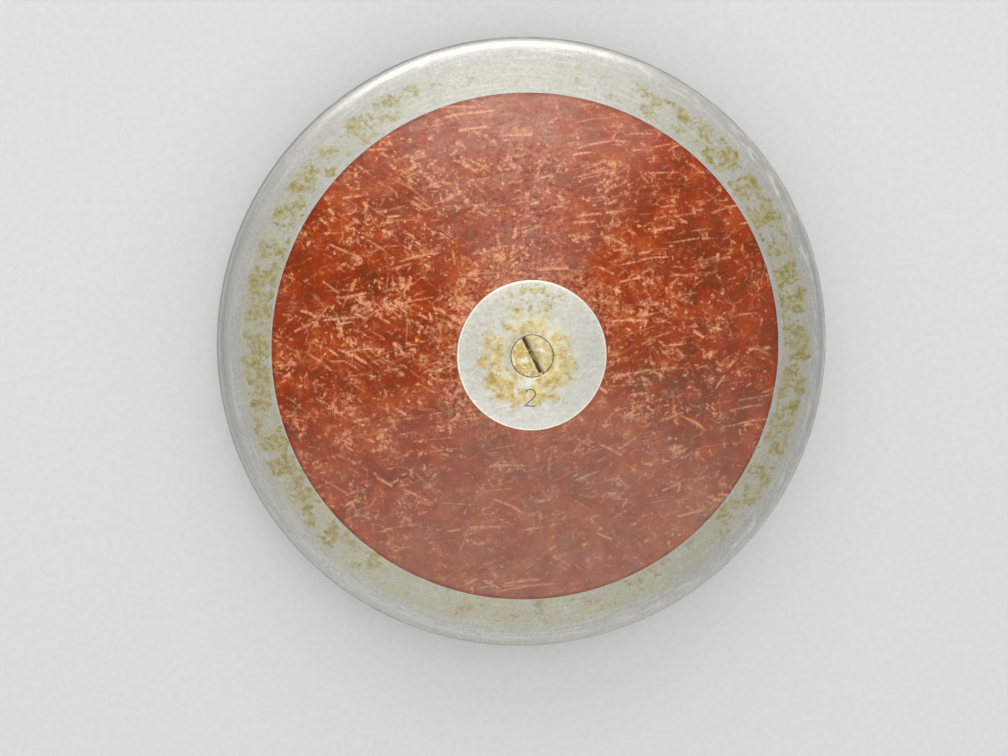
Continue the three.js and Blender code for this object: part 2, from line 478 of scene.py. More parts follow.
def uneven(tree, place, pattern, low, high=1.0):
    """A share that a pattern of noise moves between low and high."""
    return smooth_range(tree, noise_step(tree, place, *pattern), 0, 1, low, high)


def wavered(tree, place, size_mm, reach_mm):
    """The place pushed about by smooth noise, so that lines drawn on it aren't quite straight."""
    drift = add(tree, "ShaderNodeTexNoise", {"Vector": place, "Scale": 1 / size_mm, "Detail": 1})
    centred = add(tree, "ShaderNodeVectorMath", {0: drift.outputs["Color"], 1: (0.5, 0.5, 0.5)},
                  operation="SUBTRACT")
    return add(tree, "ShaderNodeVectorMath", {0: centred, 1: (reach_mm, reach_mm, 0), 2: place},
               operation="MULTIPLY_ADD").outputs[0]


def rub_strokes(tree, place, direction, run_mm, pitch_mm, seed):
    """Ragged strokes in patches, drawn out along a direction in degrees.

    The seed moves the strokes and their patches to other parts of the noise.
    """
    turned = add(tree, "ShaderNodeVectorRotate", {"Vector": place, "Angle": -math.radians(direction)},
                 rotation_type="Z_AXIS")
    stretched = add(tree, "ShaderNodeVectorMath", {0: turned, 1: (1 / run_mm, 1 / pitch_mm, 1 / run_mm),
                                                   2: (STROKE_SHIFT * seed, 0, 0)},
                    operation="MULTIPLY_ADD")
    elsewhere = add(tree, "ShaderNodeVectorMath", {0: place, 1: (PATCH_SHIFT_MM * seed, 0, 0)},
                    operation="ADD")
    strokes = noise_step(tree, stretched, 1, 0.54, 0.63, 4, 0.65)
    return product(tree, strokes, noise_step(tree, elsewhere, *RUB_PATCHES))


def rub_streaks(tree, place, direction, run_mm, pitch_mm):
    """Fine streaks that a cloth or a hand has left, along a direction in degrees."""
    turned = add(tree, "ShaderNodeVectorRotate", {"Vector": place, "Angle": -math.radians(direction)},
                 rotation_type="Z_AXIS")
    stretched = add(tree, "ShaderNodeVectorMath", {0: turned, 1: (1 / run_mm, 1 / pitch_mm, 1)},
                    operation="MULTIPLY")
    return noise_step(tree, stretched, 1, 0.5, 0.7, 3, 0.6)


def turned_streaks(tree, at, circle_mm, run_mm, pitch_mm):
    """Broken streaks round the axis, where the turned surface is rubbed along its lines."""
    around = add(tree, "ShaderNodeMath", {0: at.turn, 1: 2 * math.pi * circle_mm / run_mm},
                 operation="MULTIPLY")
    outward = add(tree, "ShaderNodeMath", {0: at.radius, 1: pitch_mm}, operation="DIVIDE")
    upward = add(tree, "ShaderNodeMath", {0: at.height, 1: pitch_mm}, operation="DIVIDE")
    place = add(tree, "ShaderNodeCombineXYZ", {0: around, 1: outward, 2: upward})
    return noise_step(tree, place, 1, 0.48, 0.68, 3, 0.6)


def turned_lines(tree, at, lines_per_mm, detail=3):
    """Rings that the lathe has left round the axis.

    Real ones are finer: these are drawn as coarse as they need to be to show in the render.
    """
    along = product(tree, at.radius, lines_per_mm)
    return add(tree, "ShaderNodeTexNoise", {"W": along, "Scale": 1.0, "Detail": detail},
               noise_dimensions="1D").outputs[0]


def squiggles(tree, place, size_mm, width_share):
    """Thin winding lines, where smooth noise crosses its middle value."""
    level = add(tree, "ShaderNodeTexNoise", {"Vector": place, "Scale": 1 / size_mm, "Detail": 2})
    past_middle = add(tree, "ShaderNodeMath", {0: level, 1: 0.5}, operation="SUBTRACT")
    away = add(tree, "ShaderNodeMath", {0: past_middle}, operation="ABSOLUTE")
    return smooth_range(tree, away, width_share * 0.3, width_share, 1.0, 0.0)


def depth_below(tree, at, top):
    """How far a point lies below the outer face, in mm, on the front and the rear alike."""
    above_middle = add(tree, "ShaderNodeMath", {0: at.height, 1: MIDDLE_HEIGHT / MM}, operation="SUBTRACT")
    out = add(tree, "ShaderNodeMath", {0: above_middle}, operation="ABSOLUTE")
    return add(tree, "ShaderNodeMath", {0: top / MM, 1: out}, operation="SUBTRACT").outputs[0]


def link_finish(tree, shader, base, roughness, relief, depth, strength):
    """Links a finish's colour, roughness and relief to its shader."""
    tree.links.new(base, shader.inputs["Base Color"])
    tree.links.new(roughness, shader.inputs["Roughness"])
    bump = add(tree, "ShaderNodeBump", {"Height": relief, "Distance": depth, "Strength": strength})
    tree.links.new(bump.outputs[0], shader.inputs["Normal"])


# A scratch's form in its cell, each as a least value and what chance adds to it: half its length in
# shares of the cell's run, its bend, its width in shares of the layer's width, and its strength.
HALF_LENGTH = (0.1, 0.38)
BEND = (-0.22, 0.45)
WIDTH_SHARE = (0.35, 0.65)
STRENGTH = (0.3, 0.7)
# Where along its half length a scratch has closed and where it begins to, as squared shares.
CLOSED_AT = 1.0
CLOSING_FROM = 0.55
# Soft edge of a drawn scratch, wider than a real one's so that it shows in the render.
SCRATCH_EDGE_MM = 0.72
# How far one step of a layer's seed moves its cells.
SCRATCH_SHIFT_MM = (131.7, 57.3, 0)
# A large factor that mixes two chances into one that follows neither.
CHANCE_MIX = 91.7


def by_chance(tree, chance, least, added):
    """A least value and what a chance between 0 and 1 adds to it."""
    return add(tree, "ShaderNodeMath", {0: chance, 1: added, 2: least}, operation="MULTIPLY_ADD").outputs[0]


def scratch_group():
    """A node group that draws one scratch in each cell of a stretched grid.

    Each cell's scratch has its own length, width, tilt and bend. Run and Pitch are the cell's size
    along and across the scratches in mm, Spread is how far they tilt, and Share is how many of the
    cells hold one.
    """
    tree = bpy.data.node_groups.new("scratches", "ShaderNodeTree")
    tree.interface.new_socket(name="Place", in_out="INPUT", socket_type="NodeSocketVector")
    for name in ("Direction", "Run", "Pitch", "Width", "Spread", "Share", "Seed"):
        tree.interface.new_socket(name=name, in_out="INPUT", socket_type="NodeSocketFloat")
    tree.interface.new_socket(name="Mark", in_out="OUTPUT", socket_type="NodeSocketFloat")
    given = add(tree, "NodeGroupInput").outputs

    # The way from the middle of the nearest cell, in a grid turned and stretched along the scratches.
    offset = add(tree, "ShaderNodeVectorMath", {0: SCRATCH_SHIFT_MM, "Scale": given["Seed"]},
                 operation="SCALE")
    moved = add(tree, "ShaderNodeVectorMath", {0: given["Place"], 1: offset}, operation="ADD")
    back = product(tree, given["Direction"], -1)
    rotated = add(tree, "ShaderNodeVectorRotate", {"Vector": moved, "Angle": back}, rotation_type="Z_AXIS")
    cell_size = add(tree, "ShaderNodeCombineXYZ", {0: given["Run"], 1: given["Pitch"], 2: 1})
    stretched = add(tree, "ShaderNodeVectorMath", {0: rotated, 1: cell_size}, operation="DIVIDE")
    cells = add(tree, "ShaderNodeTexVoronoi", {"Vector": stretched, "Scale": 1, "Randomness": 1},
                voronoi_dimensions="2D", feature="F1")
    away = add(tree, "ShaderNodeVectorMath", {0: stretched, 1: cells.outputs["Position"]},
               operation="SUBTRACT")
    along_cell, across_cell = [
        add(tree, "ShaderNodeVectorMath", {0: away, 1: axis}, operation="DOT_PRODUCT").outputs["Value"]
        for axis in ((1, 0, 0), (0, 1, 0))
    ]

    # A cell's colour gives three chances, and a fourth is mixed from two of them.
    chances = add(tree, "ShaderNodeSeparateColor", {0: cells.outputs["Color"]})
    tilt_chance, held_chance, length_chance = chances.outputs
    mixed = add(tree, "ShaderNodeMath", {0: tilt_chance, 1: CHANCE_MIX, 2: length_chance},
                operation="MULTIPLY_ADD")
    form_chance = add(tree, "ShaderNodeMath", {0: mixed}, operation="FRACT").outputs[0]

    # Shape along the scratch: it keeps its width and closes near a random half length.
    half = by_chance(tree, length_chance, *HALF_LENGTH)
    along = add(tree, "ShaderNodeMath", {0: along_cell, 1: half}, operation="DIVIDE")
    taper = add(tree, "ShaderNodeMapRange", {0: product(tree, along, along), 1: CLOSED_AT, 2: CLOSING_FROM})

    # Distance across it, with a random tilt and bend.
    tilt_share = add(tree, "ShaderNodeMath", {0: tilt_chance, 1: 0.5}, operation="SUBTRACT")
    tilt = product(tree, tilt_share, given["Spread"])
    bend = product(tree, by_chance(tree, form_chance, *BEND), along_cell)
    lean = add(tree, "ShaderNodeMath", {0: tilt, 1: bend}, operation="ADD")
    run_along = product(tree, along_cell, given["Run"])
    across = product(tree, across_cell, given["Pitch"])
    offset_across = add(tree, "ShaderNodeMath", {0: run_along, 1: lean, 2: across}, operation="MULTIPLY_ADD")
    distance = add(tree, "ShaderNodeMath", {0: offset_across}, operation="ABSOLUTE")

    # The line itself, in the cells that hold one. Most are faint.
    width = product(tree, by_chance(tree, form_chance, *WIDTH_SHARE), given["Width"], taper)
    inside = add(tree, "ShaderNodeMath", {0: width, 1: distance}, operation="SUBTRACT")
    line = add(tree, "ShaderNodeMath", {0: inside, 1: SCRATCH_EDGE_MM}, operation="DIVIDE", use_clamp=True)
    held = add(tree, "ShaderNodeMath", {0: held_chance, 1: given["Share"]}, operation="LESS_THAN")
    strength = by_chance(tree, product(tree, form_chance, form_chance), *STRENGTH)
    add(tree, "NodeGroupOutput", {"Mark": product(tree, line, held, strength)})
    return tree


def scratch_marks(tree, group, place, density, layers, seed):
    """The strongest mark of several scratch layers, each a tuple of how its scratches lie.

    A layer is (direction in degrees, run, pitch and width in mm, spread, share).
    """
    marks = []
    for index, (direction, *form, share) in enumerate(layers):
        layer = add(tree, "ShaderNodeGroup", {
            "Place": place,
            "Direction": math.radians(direction),
            **dict(zip(("Run", "Pitch", "Width", "Spread"), form)),
            "Share": product(tree, density, share),
            "Seed": seed + index,
        }, node_tree=group)
        marks.append(layer.outputs["Mark"])
    return strongest_of(tree, *marks)


# How much each part of the lacquered face is scratched, by share of a turn from +X, and by radius
# from the centre plate to the seam. The upper and left parts took most of the landings.
SCRATCHED_BY_TURN = ((0.0, 0.75), (0.12, 0.66), (0.25, 0.95), (0.42, 1.0), (0.5, 1.0), (0.6, 0.8),
                     (0.68, 0.6), (0.78, 0.5), (0.88, 0.6), (0.95, 0.7), (1.0, 0.75))
SCRATCHED_BY_RADIUS = ((0.0, 1.0), (0.15, 1.1), (0.35, 1.0), (0.7, 1.0), (0.9, 0.75), (1.0, 0.6))
# Where the lacquer is dull and pinkish: partly rubbed, and partly a painted reflection, strongest
# on the lower half.
VEIL_AND_REFLECTION_BY_TURN = ((0.0, 0.16), (0.08, 0.0), (0.2, 0.0), (0.43, 0.0), (0.52, 0.05), (0.6, 0.5),
                  (0.68, 0.9), (0.78, 1.0), (0.88, 0.9), (0.95, 0.45), (1.0, 0.16))
VEIL_AND_REFLECTION_BY_RADIUS = ((0.0, 0.7), (0.2, 0.8), (0.5, 0.9), (1.0, 1.0))
# Where a paler haze lies on it, partly fine scuffing and partly a painted sheen of the light at the
# top, and how much dirt lies in that haze.
HAZE_AND_SHEEN_BY_TURN = ((0.0, 0.0), (0.14, 0.05), (0.19, 0.5), (0.25, 1.0), (0.31, 0.75), (0.36, 0.2),
                 (0.42, 0.0), (1.0, 0.0))
HAZE_AND_SHEEN_BY_RADIUS = ((0.0, 0.52), (0.3, 0.56), (0.6, 0.71), (0.85, 1.05), (1.0, 1.1))
HAZE_DIRT_BY_RADIUS = ((0.0, 1.0), (0.55, 1.0), (0.8, 0.5), (1.0, 0.4))
# Where the long scratches lie level, where they fall to the right and where they rise, and where
# the short ones are.
LEVEL_BY_TURN = ((0.0, 0.6), (0.19, 1.2), (0.32, 1.2), (0.38, 0.8), (0.45, 0.4), (0.55, 0.3),
                 (0.65, 0.4), (1.0, 0.6))
FALLING_BY_TURN = ((0.0, 0.3), (0.3, 0.3), (0.42, 1.0), (0.54, 1.0), (0.64, 0.4), (1.0, 0.3))
RISING_BY_TURN = ((0.0, 0.3), (0.5, 0.2), (0.64, 1.0), (0.86, 1.0), (0.95, 0.5), (1.0, 0.3))
SHORT_BY_TURN = ((0.0, 0.9), (0.16, 1.0), (0.21, 0.65), (0.3, 0.65), (0.36, 1.0), (0.9, 1.0), (1.0, 0.9))
# Where dirt has got into the lacquer, where it has gone brown, and where it is rubbed all over
# beside the plate.
DIRTY_BY_TURN = ((0.0, 1.0), (0.14, 0.5), (0.2, 0.6), (0.3, 0.6), (0.38, 0.9), (0.5, 1.3), (0.6, 1.0),
                 (1.0, 1.0))
BROWNED_BY_TURN = ((0.0, 1.0), (0.07, 0.7), (0.14, 0.0), (0.85, 0.0), (0.94, 0.7), (1.0, 1.0))
RING_BY_TURN = ((0.0, 0.0), (0.1, 1.1), (0.3, 1.0), (0.58, 1.0), (0.7, 0.5), (0.88, 0.2), (1.0, 0.0))

# Scratches through the lacquer. Each row is a direction in degrees, the run, pitch and width in
# mm, the spread of directions, and the share of places that hold one. Many real scratches are
# finer: these are drawn as wide as they need to be to show in the render.
DEEP_LEVEL_SCRATCHES = (
    (9, 46, 8, 0.66, 0.12, 0.5),
    (12, 18, 4.6, 0.7, 0.3, 0.5),
)
DEEP_FALLING_SCRATCHES = ((-30, 16, 4.2, 0.85, 0.35, 0.6),)
SHORT_SCRATCHES = (
    (72, 14, 6.0, 0.62, 0.8, 0.3),
    (28, 8.0, 3.8, 0.8, 1.1, 0.36),
    (-20, 5.6, 3.7, 0.9, 1.1, 0.36),
)
FLECKS = (
    (40, 2.6, 2.3, 0.9, 2.0, 0.5),
    (-60, 4.0, 3.2, 1.1, 2.0, 0.5),
)
CREAM_SCRATCHES = (
    (18, 22, 9.0, 0.55, 0.6, 0.3),
    (-48, 9, 6.0, 0.6, 1.0, 0.25),
)
FALLING_BUNDLES = ((-31, 15, 2.6, 0.75, 0.12, 0.55),)
LEVEL_BUNDLES = (
    (8, 30, 2.4, 0.66, 0.07, 0.7),
    (2, 34, 4.5, 0.62, 0.12, 0.5),
)
RISING_BUNDLES = ((26, 15, 3.2, 0.75, 0.25, 0.5),)
DARK_SCRATCHES = (
    (-20, 12, 4.5, 0.6, 0.9, 0.35),
    (60, 4.0, 3.0, 0.75, 1.8, 0.35),
)
# Rubs: a direction in degrees, and the length and width of its strokes in mm.
RUBS = ((13, 12.0, 1.7), (-32, 10.0, 1.6), (32, 7.0, 1.6), (100, 5.0, 1.8))
# How far one step of a rub's seed moves its patches, in mm, and its strokes, in their lengths.
PATCH_SHIFT_MM = 31.7
STROKE_SHIFT = 7.3

# Patterns of noise in the lacquer. Each is a size in mm, the two values that become 0 and 1, the
# detail and the roughness.
LACQUER_CLOUDS = (24, 0.3, 0.7, 3, 0.6)
LACQUER_PATCHES = (8, 0.34, 0.66, 4, 0.65)
LACQUER_MOTTLE = (2.4, 0.3, 0.7, 4, 0.7)
DIRT_BLOTCHES = (5.0, 0.5, 0.68, 5, 0.7)
THIN_AND_THICK_SCRATCHING = (13, 0.3, 0.7)
SCRATCH_CLUSTERS = (5.5, 0.36, 0.62, 3)
FALLING_BUNDLE_PATCHES = (12, 0.48, 0.57)
LEVEL_BUNDLE_PATCHES = (15, 0.46, 0.56)
RISING_BUNDLE_PATCHES = (17, 0.5, 0.6)
SCRATCH_GRIT = (1.3, 0.36, 0.6, 2, 0.65)
RUB_PATCHES = (13, 0.46, 0.6, 3)
RUBBED_SPOTS = (4.5, 0.55, 0.64, 5, 0.72)
RUBBED_CLUSTERS = (16, 0.42, 0.6, 3)
FLECK_CLUSTERS = (9, 0.4, 0.56, 3)
SQUIGGLE_PATCHES = (6, 0.5, 0.58, 3)
CHIPS = (2.0, 0.62, 0.68, 2, 0.5)
PLATE_RING_RUBBING = (1.5, 0.46, 0.6, 4, 0.7)
SCRATCH_COLOUR_PATCHES = (6, 0.4, 0.6)
VEIL_PATCHES = (9, 0.3, 0.7, 4, 0.65)
VEIL_DIRT = (7, 0.35, 0.7, 4, 0.7)
HAZE_PATCHES = (9, 0.34, 0.6, 4, 0.65)
HAZE_DIRT = (1.6, 0.47, 0.62, 4, 0.7)
BARE_SPOTS = (3.4, 0.66, 0.7, 3, 0.6)
SEAM_PATCHES = (5, 0.3, 0.7)
# Streaks: a direction in degrees, and their length and width in mm.
HAZE_STREAKS = (8, 26, 2.4)
# Squiggles: a size in mm, and their width as a share of the noise's range.
SQUIGGLES = (6.0, 0.028)
# How lines are pushed about: the size of the waves and their reach, in mm.
STRAIGHT_WAVER = (24, 3)
BENT_WAVER = (24, 5)
FINE_WAVER = (3.0, 0.5)
JAGGED_WAVER = (1.1, 0.8)
RAGGED_WAVER = (2.0, 1.2)
BLOTCH_WAVER = (3, 2)
# Spans of radius in mm: the rubbing's end, from the plate outwards, and the dirt at the seam.
RING_RUBBING_SPAN = (3, 14)
SEAM_DIRT_SPAN = (-1.6, -0.3)
# How far the pattern of one side lies from that of the other, in mm.
SIDE_SHIFT_MM = (411, 173, 0)
ORANGE_PEEL_MM = 1.6
# Roughness of sound lacquer and of lacquer that is rubbed all over.
LACQUER_ROUGHNESS = (0.34, 0.52)
SCRATCH_DEPTH = 0.09 * MM


def lacquer_tone(tree, at, shifted, colours):
    """The lacquer from brown through red to orange, in clouds, in patches in them and in mottle."""
    tone = weighted_sum(
        tree,
        (noise_step(tree, shifted, *LACQUER_CLOUDS), 0.35),
        (noise_step(tree, shifted, *LACQUER_PATCHES), 0.5),
        (noise_step(tree, shifted, *LACQUER_MOTTLE), 0.15),
        (by_turn(tree, at, BROWNED_BY_TURN), -0.14),
    )
    ramp = add(tree, "ShaderNodeValToRGB", {0: tone})
    set_stops(ramp, (
        (0.1, colours.lacquer_brown),
        (0.48, colours.lacquer_red),
        (0.88, colours.lacquer_orange),
    ))
    return ramp.outputs[0]


def lacquer_scratches(tree, at, shifted, group, seed):
    """The scratches through the lacquer by kind, and how scratched each place is."""
    unevenly = uneven(tree, shifted, THIN_AND_THICK_SCRATCHING, 0.45, 1.4)
    clustered = uneven(tree, shifted, SCRATCH_CLUSTERS, 0.3, 1.4)
    by_radius = ramp_over(tree, at.radius, PLATE_RADIUS / MM, WOOD_RADIUS / MM, SCRATCHED_BY_RADIUS)
    scratched = product(tree, by_turn(tree, at, SCRATCHED_BY_TURN), by_radius, unevenly, clustered)

    # How strong each kind is at each place.
    level = by_turn(tree, at, LEVEL_BY_TURN)
    falling = by_turn(tree, at, FALLING_BY_TURN)
    rising = by_turn(tree, at, RISING_BY_TURN)
    level_bundles = product(tree, level, noise_step(tree, shifted, *LEVEL_BUNDLE_PATCHES))
    falling_bundles = product(tree, falling, noise_step(tree, shifted, *FALLING_BUNDLE_PATCHES))
    rising_bundles = product(tree, rising, noise_step(tree, shifted, *RISING_BUNDLE_PATCHES))
    short = product(tree, scratched, by_turn(tree, at, SHORT_BY_TURN))
    flecked = product(tree, short, noise_step(tree, shifted, *FLECK_CLUSTERS))

    # Each kind lies straight, wavy or jagged, and has seeds of its own, so that no two share their
    # cells.
    straight = wavered(tree, shifted, *STRAIGHT_WAVER)
    wavy = wavered(tree, wavered(tree, shifted, *BENT_WAVER), *FINE_WAVER)
    jagged = wavered(tree, shifted, *JAGGED_WAVER)
    deep_level = product(tree, level, scratched)
    deep_falling = product(tree, falling, scratched)
    deep = strongest_of(
        tree,
        scratch_marks(tree, group, wavy, deep_level, DEEP_LEVEL_SCRATCHES, seed + 40),
        scratch_marks(tree, group, wavy, deep_falling, DEEP_FALLING_SCRATCHES, seed + 43),
    )
    level_lines = scratch_marks(tree, group, straight, level_bundles, LEVEL_BUNDLES, seed + 61)
    flecks = scratch_marks(tree, group, jagged, flecked, FLECKS, seed + 100)
    bundles = strongest_of(
        tree,
        scratch_marks(tree, group, straight, falling_bundles, FALLING_BUNDLES, seed + 60),
        scratch_marks(tree, group, straight, rising_bundles, RISING_BUNDLES, seed + 63),
        level_lines,
    )
    shallow = strongest_of(
        tree,
        product(tree, bundles, 1.4),
        scratch_marks(tree, group, wavy, short, SHORT_SCRATCHES, seed),
        flecks,
    )
    broken = uneven(tree, shifted, SCRATCH_GRIT, 0.35)
    return SimpleNamespace(
        scratched=scratched,
        broken=broken,
        deep=deep,
        level_lines=level_lines,
        flecks=flecks,
        pale=product(tree, strongest_of(tree, deep, shallow), broken),
        cream=product(tree, scratch_marks(tree, group, wavy, scratched, CREAM_SCRATCHES, seed + 20), broken),
        dark=scratch_marks(tree, group, wavy, scratched, DARK_SCRATCHES, seed + 80),
    )


def lacquer_rubbing(tree, at, shifted, scratches, seed):
    """Rubbed strokes and spots, squiggles, chips, bare spots, and the rubbing round the plate."""
    ragged = wavered(tree, shifted, *RAGGED_WAVER)
    strokes = [rub_strokes(tree, ragged, *rub, seed + index) for index, rub in enumerate(RUBS)]
    spots = product(tree, noise_step(tree, ragged, *RUBBED_SPOTS),
                    noise_step(tree, shifted, *RUBBED_CLUSTERS))
    return SimpleNamespace(
        rubbed=product(tree, strongest_of(tree, spots, *strokes), scratches.broken, scratches.scratched),
        winding=product(tree, squiggles(tree, ragged, *SQUIGGLES),
                        noise_step(tree, shifted, *SQUIGGLE_PATCHES), scratches.broken,
                        scratches.scratched),
        chips=product(tree, noise_step(tree, shifted, *CHIPS), scratches.scratched),
        bare=product(tree, noise_step(tree, ragged, *BARE_SPOTS), scratches.scratched),
        ring=product(tree, noise_step(tree, shifted, *PLATE_RING_RUBBING), by_turn(tree, at, RING_BY_TURN),
                     over_span(tree, at.radius, PLATE_RADIUS / MM, RING_RUBBING_SPAN, 0.42, 0.0)),
    )


def red_lacquer_on_beech(colours, group, seed, turn_offset):
    """Brick-red nitrocellulose lacquer, sprayed over a pale ground coat on turned beech.

    It gives the eye a worn gloss, clouded from brown to orange, under thousands of short pale
    scratches, flecks and rubbed spots, and a few spots worn through to the wood. A dull pinkish
    veil lies over the lower half, partly rubbing and partly a painted reflection, and a paler haze
    with dirt in it lies over the top, partly scuffing and partly a painted sheen of the light at the top.
    """
    material, tree, shader = new_material(f"red_lacquer_on_beech_{seed}")
    at = surface_places(tree, turn_offset)
    shift_mm = tuple(seed * distance for distance in SIDE_SHIFT_MM)
    shifted = add(tree, "ShaderNodeVectorMath", {0: at.place, 1: shift_mm}, operation="ADD").outputs[0]
    plate_mm = PLATE_RADIUS / MM
    seam_mm = WOOD_RADIUS / MM
    scratches = lacquer_scratches(tree, at, shifted, group, seed)
    rubbing = lacquer_rubbing(tree, at, shifted, scratches, seed)

    # The lacquer's own colour, with dark blotches and scratches where dirt has got into it.
    base = lacquer_tone(tree, at, shifted, colours)
    dirty = by_turn(tree, at, DIRTY_BY_TURN)
    blotches = noise_step(tree, wavered(tree, shifted, *BLOTCH_WAVER), *DIRT_BLOTCHES)
    base = laid_over(tree, base, colours.lacquer_brown, blotches, dirty, 0.4)
    base = laid_over(tree, base, colours.lacquer_brown, scratches.dark, dirty, 0.5)

    # Its pale marks.
    mark_colour = blend_colour(tree, noise_step(tree, shifted, *SCRATCH_COLOUR_PATCHES), colours.scratch_pink,
                               colours.scratch_tan)
    for mark, share in ((rubbing.ring, 1.0), (rubbing.rubbed, 0.75), (rubbing.winding, 0.7),
                        (rubbing.chips, 0.75), (scratches.pale, 1.0)):
        base = laid_over(tree, base, mark_colour, mark, share)
    base = laid_over(tree, base, colours.scratch_cream, scratches.cream)

    # The veil: fine rubbing that dulls the lacquer and its scratches alike, with dirt in patches, and a
    # painted reflection on the lower half.
    veil_and_reflection = product(tree, by_turn(tree, at, VEIL_AND_REFLECTION_BY_TURN), uneven(tree, shifted, VEIL_PATCHES, 0.85),
                   ramp_over(tree, at.radius, plate_mm, seam_mm, VEIL_AND_REFLECTION_BY_RADIUS))
    veil_colour = blend_colour(tree, noise_step(tree, shifted, *VEIL_DIRT), colours.lacquer_veil_and_reflection,
                               colours.lacquer_dusk)
    base = laid_over(tree, base, veil_colour, veil_and_reflection, 0.64)

    # The haze: a film of fine pale scuffs with dirt in it, and long scratches and flecks over it.
    # Part of its paleness is a painted sheen of the light at the top, which pales the scratches too.
    haze_and_sheen_turn = by_turn(tree, at, HAZE_AND_SHEEN_BY_TURN)
    haze_streaks = smooth_range(tree, rub_streaks(tree, shifted, *HAZE_STREAKS), 0, 1, 0.8, 1.0)
    haze_and_sheen = product(tree, haze_and_sheen_turn, uneven(tree, shifted, HAZE_PATCHES, 0.7), haze_streaks,
                    ramp_over(tree, at.radius, plate_mm, seam_mm, HAZE_AND_SHEEN_BY_RADIUS))
    base = laid_over(tree, base, colours.lacquer_haze_and_sheen, haze_and_sheen, 0.74)
    base = laid_over(tree, base, colours.lacquer_brown, noise_step(tree, shifted, *HAZE_DIRT), haze_and_sheen_turn,
                     ramp_over(tree, at.radius, plate_mm, seam_mm, HAZE_DIRT_BY_RADIUS), 0.6)
    # Long scratches and flecks, painted paler under the sheen.
    sheened = strongest_of(tree, product(tree, scratches.level_lines, 1.9),
                         product(tree, scratches.flecks, 1.3))
    base = laid_over(tree, base, colours.scratch_sheened, sheened, haze_and_sheen, scratches.broken)

    # A few spots worn through to the wood, and thick lacquer and dirt at the seam.
    base = laid_over(tree, base, colours.scratch_cream, rubbing.bare, 0.85)
    seam_dirt = over_span(tree, at.radius, seam_mm, SEAM_DIRT_SPAN, 0.0, 0.45)
    base = laid_over(tree, base, colours.seam_crimson, seam_dirt, uneven(tree, shifted, SEAM_PATCHES, 0.3))

    # Sound lacquer is glossy. Scratches, rubbed spots, the veil and the haze are duller.
    dull = strongest_of(tree, scratches.pale, scratches.cream, rubbing.rubbed, veil_and_reflection, haze_and_sheen)
    glossy, worn_dull = LACQUER_ROUGHNESS
    roughness = add(tree, "ShaderNodeMapRange", {0: dull, 3: glossy, 4: worn_dull}).outputs[0]
    shader.inputs["IOR"].default_value = 1.5
    shader.inputs["Specular IOR Level"].default_value = 0.1

    # Deep scratches lie below the surface, and the lacquer has a faint orange-peel.
    peel = add(tree, "ShaderNodeTexNoise", {"Vector": shifted, "Scale": 1 / ORANGE_PEEL_MM, "Detail": 3})
    relief = weighted_sum(tree, (peel, 0.35), (scratches.deep, -1.0))
    link_finish(tree, shader, base, roughness, relief, SCRATCH_DEPTH, 0.8)
    return material


# How much yellow passivation is left round the rim, by share of a turn from +X.
PASSIVATE_BY_TURN = ((0.0, 1.05), (0.06, 1.0), (0.12, 0.95), (0.17, 0.85), (0.22, 0.6), (0.27, 0.5),
                     (0.33, 0.8), (0.4, 0.9), (0.45, 0.95), (0.53, 0.95), (0.6, 0.85), (0.68, 0.65),
                     (0.75, 0.7), (0.85, 0.7), (0.93, 0.9), (1.0, 1.05))
# How far the band of passivation moves in towards the seam, as a share of BAND_SHIFT_MM.
BAND_SHIFT_BY_TURN = ((0.0, 0.0), (0.25, 0.1), (0.38, 0.3), (0.5, 0.8), (0.65, 1.0), (0.88, 0.9), (0.97, 0.1),
                      (1.0, 0.0))
BAND_SHIFT_MM = 1.6
# How strong the thin wash between the islands is.
WASH_BY_TURN = ((0.0, 0.45), (0.14, 0.45), (0.2, 0.3), (0.3, 0.3), (0.38, 0.5), (0.5, 0.75), (0.62, 0.75),
                (0.75, 0.75), (0.9, 0.6), (1.0, 0.45))
# Where the rounded edge is scuffed pale.
EDGE_SCUFFED_BY_TURN = ((0.0, 0.7), (0.1, 1.0), (0.2, 0.5), (0.35, 0.3), (0.5, 0.1), (0.62, 0.35),
                        (0.75, 0.25), (0.88, 0.7), (1.0, 0.7))
RIM_SCRATCHES = (
    (40, 12, 6, 0.36, 1.6, 0.25),
    (-50, 8, 5, 0.38, 1.8, 0.25),
    (95, 5, 3.0, 0.4, 2.0, 0.3),
)
# Spans of radius in mm, outwards from the seam for the band's inner side, and from the rim's outer
# edge for the rest.
BAND_INNER_SPAN = (-0.5, 2.8)
BAND_OUTER_SPAN = (-10, -4.5)
RUBBED_EDGE_SPAN = (-7, -3)
STRUCK_EDGE_SPAN = (-7, -5)
# Where a dull line of painted shade lies along the very edge.
PAINTED_EDGE_SHADE_SPAN = (-1.5, -0.4)
# Patterns of noise, as in the lacquer, and the waves and reaches of what is pushed about.
ISLAND_WAVER = (4, 2.5)
RIM_SCUFF_WAVER = (9, 2)
RIM_WASH = (6, 0.25, 0.65, 4, 0.7)
RIM_MOTTLE = (1.3, 0.3, 0.7, 4, 0.7)
RIM_DRIFTS = (15, 0.35, 0.65)
RIM_FILM = (1.8, 0.35, 0.65, 4, 0.65)
RIM_FILM_THICKNESS = (9, 0.35, 0.6, 3)
RIM_PITS = (1.1, 0.68, 0.75, 3, 0.6)
# Streaks round the axis: their length and width in mm.
RIM_ARCS = (14.0, 1.0)
EDGE_SCUFFS = (7.0, 1.8)
RIM_ISLAND_MM = 7.5
RIM_LINES_PER_MM = 3.0
RIM_RELIEF = 0.04 * MM


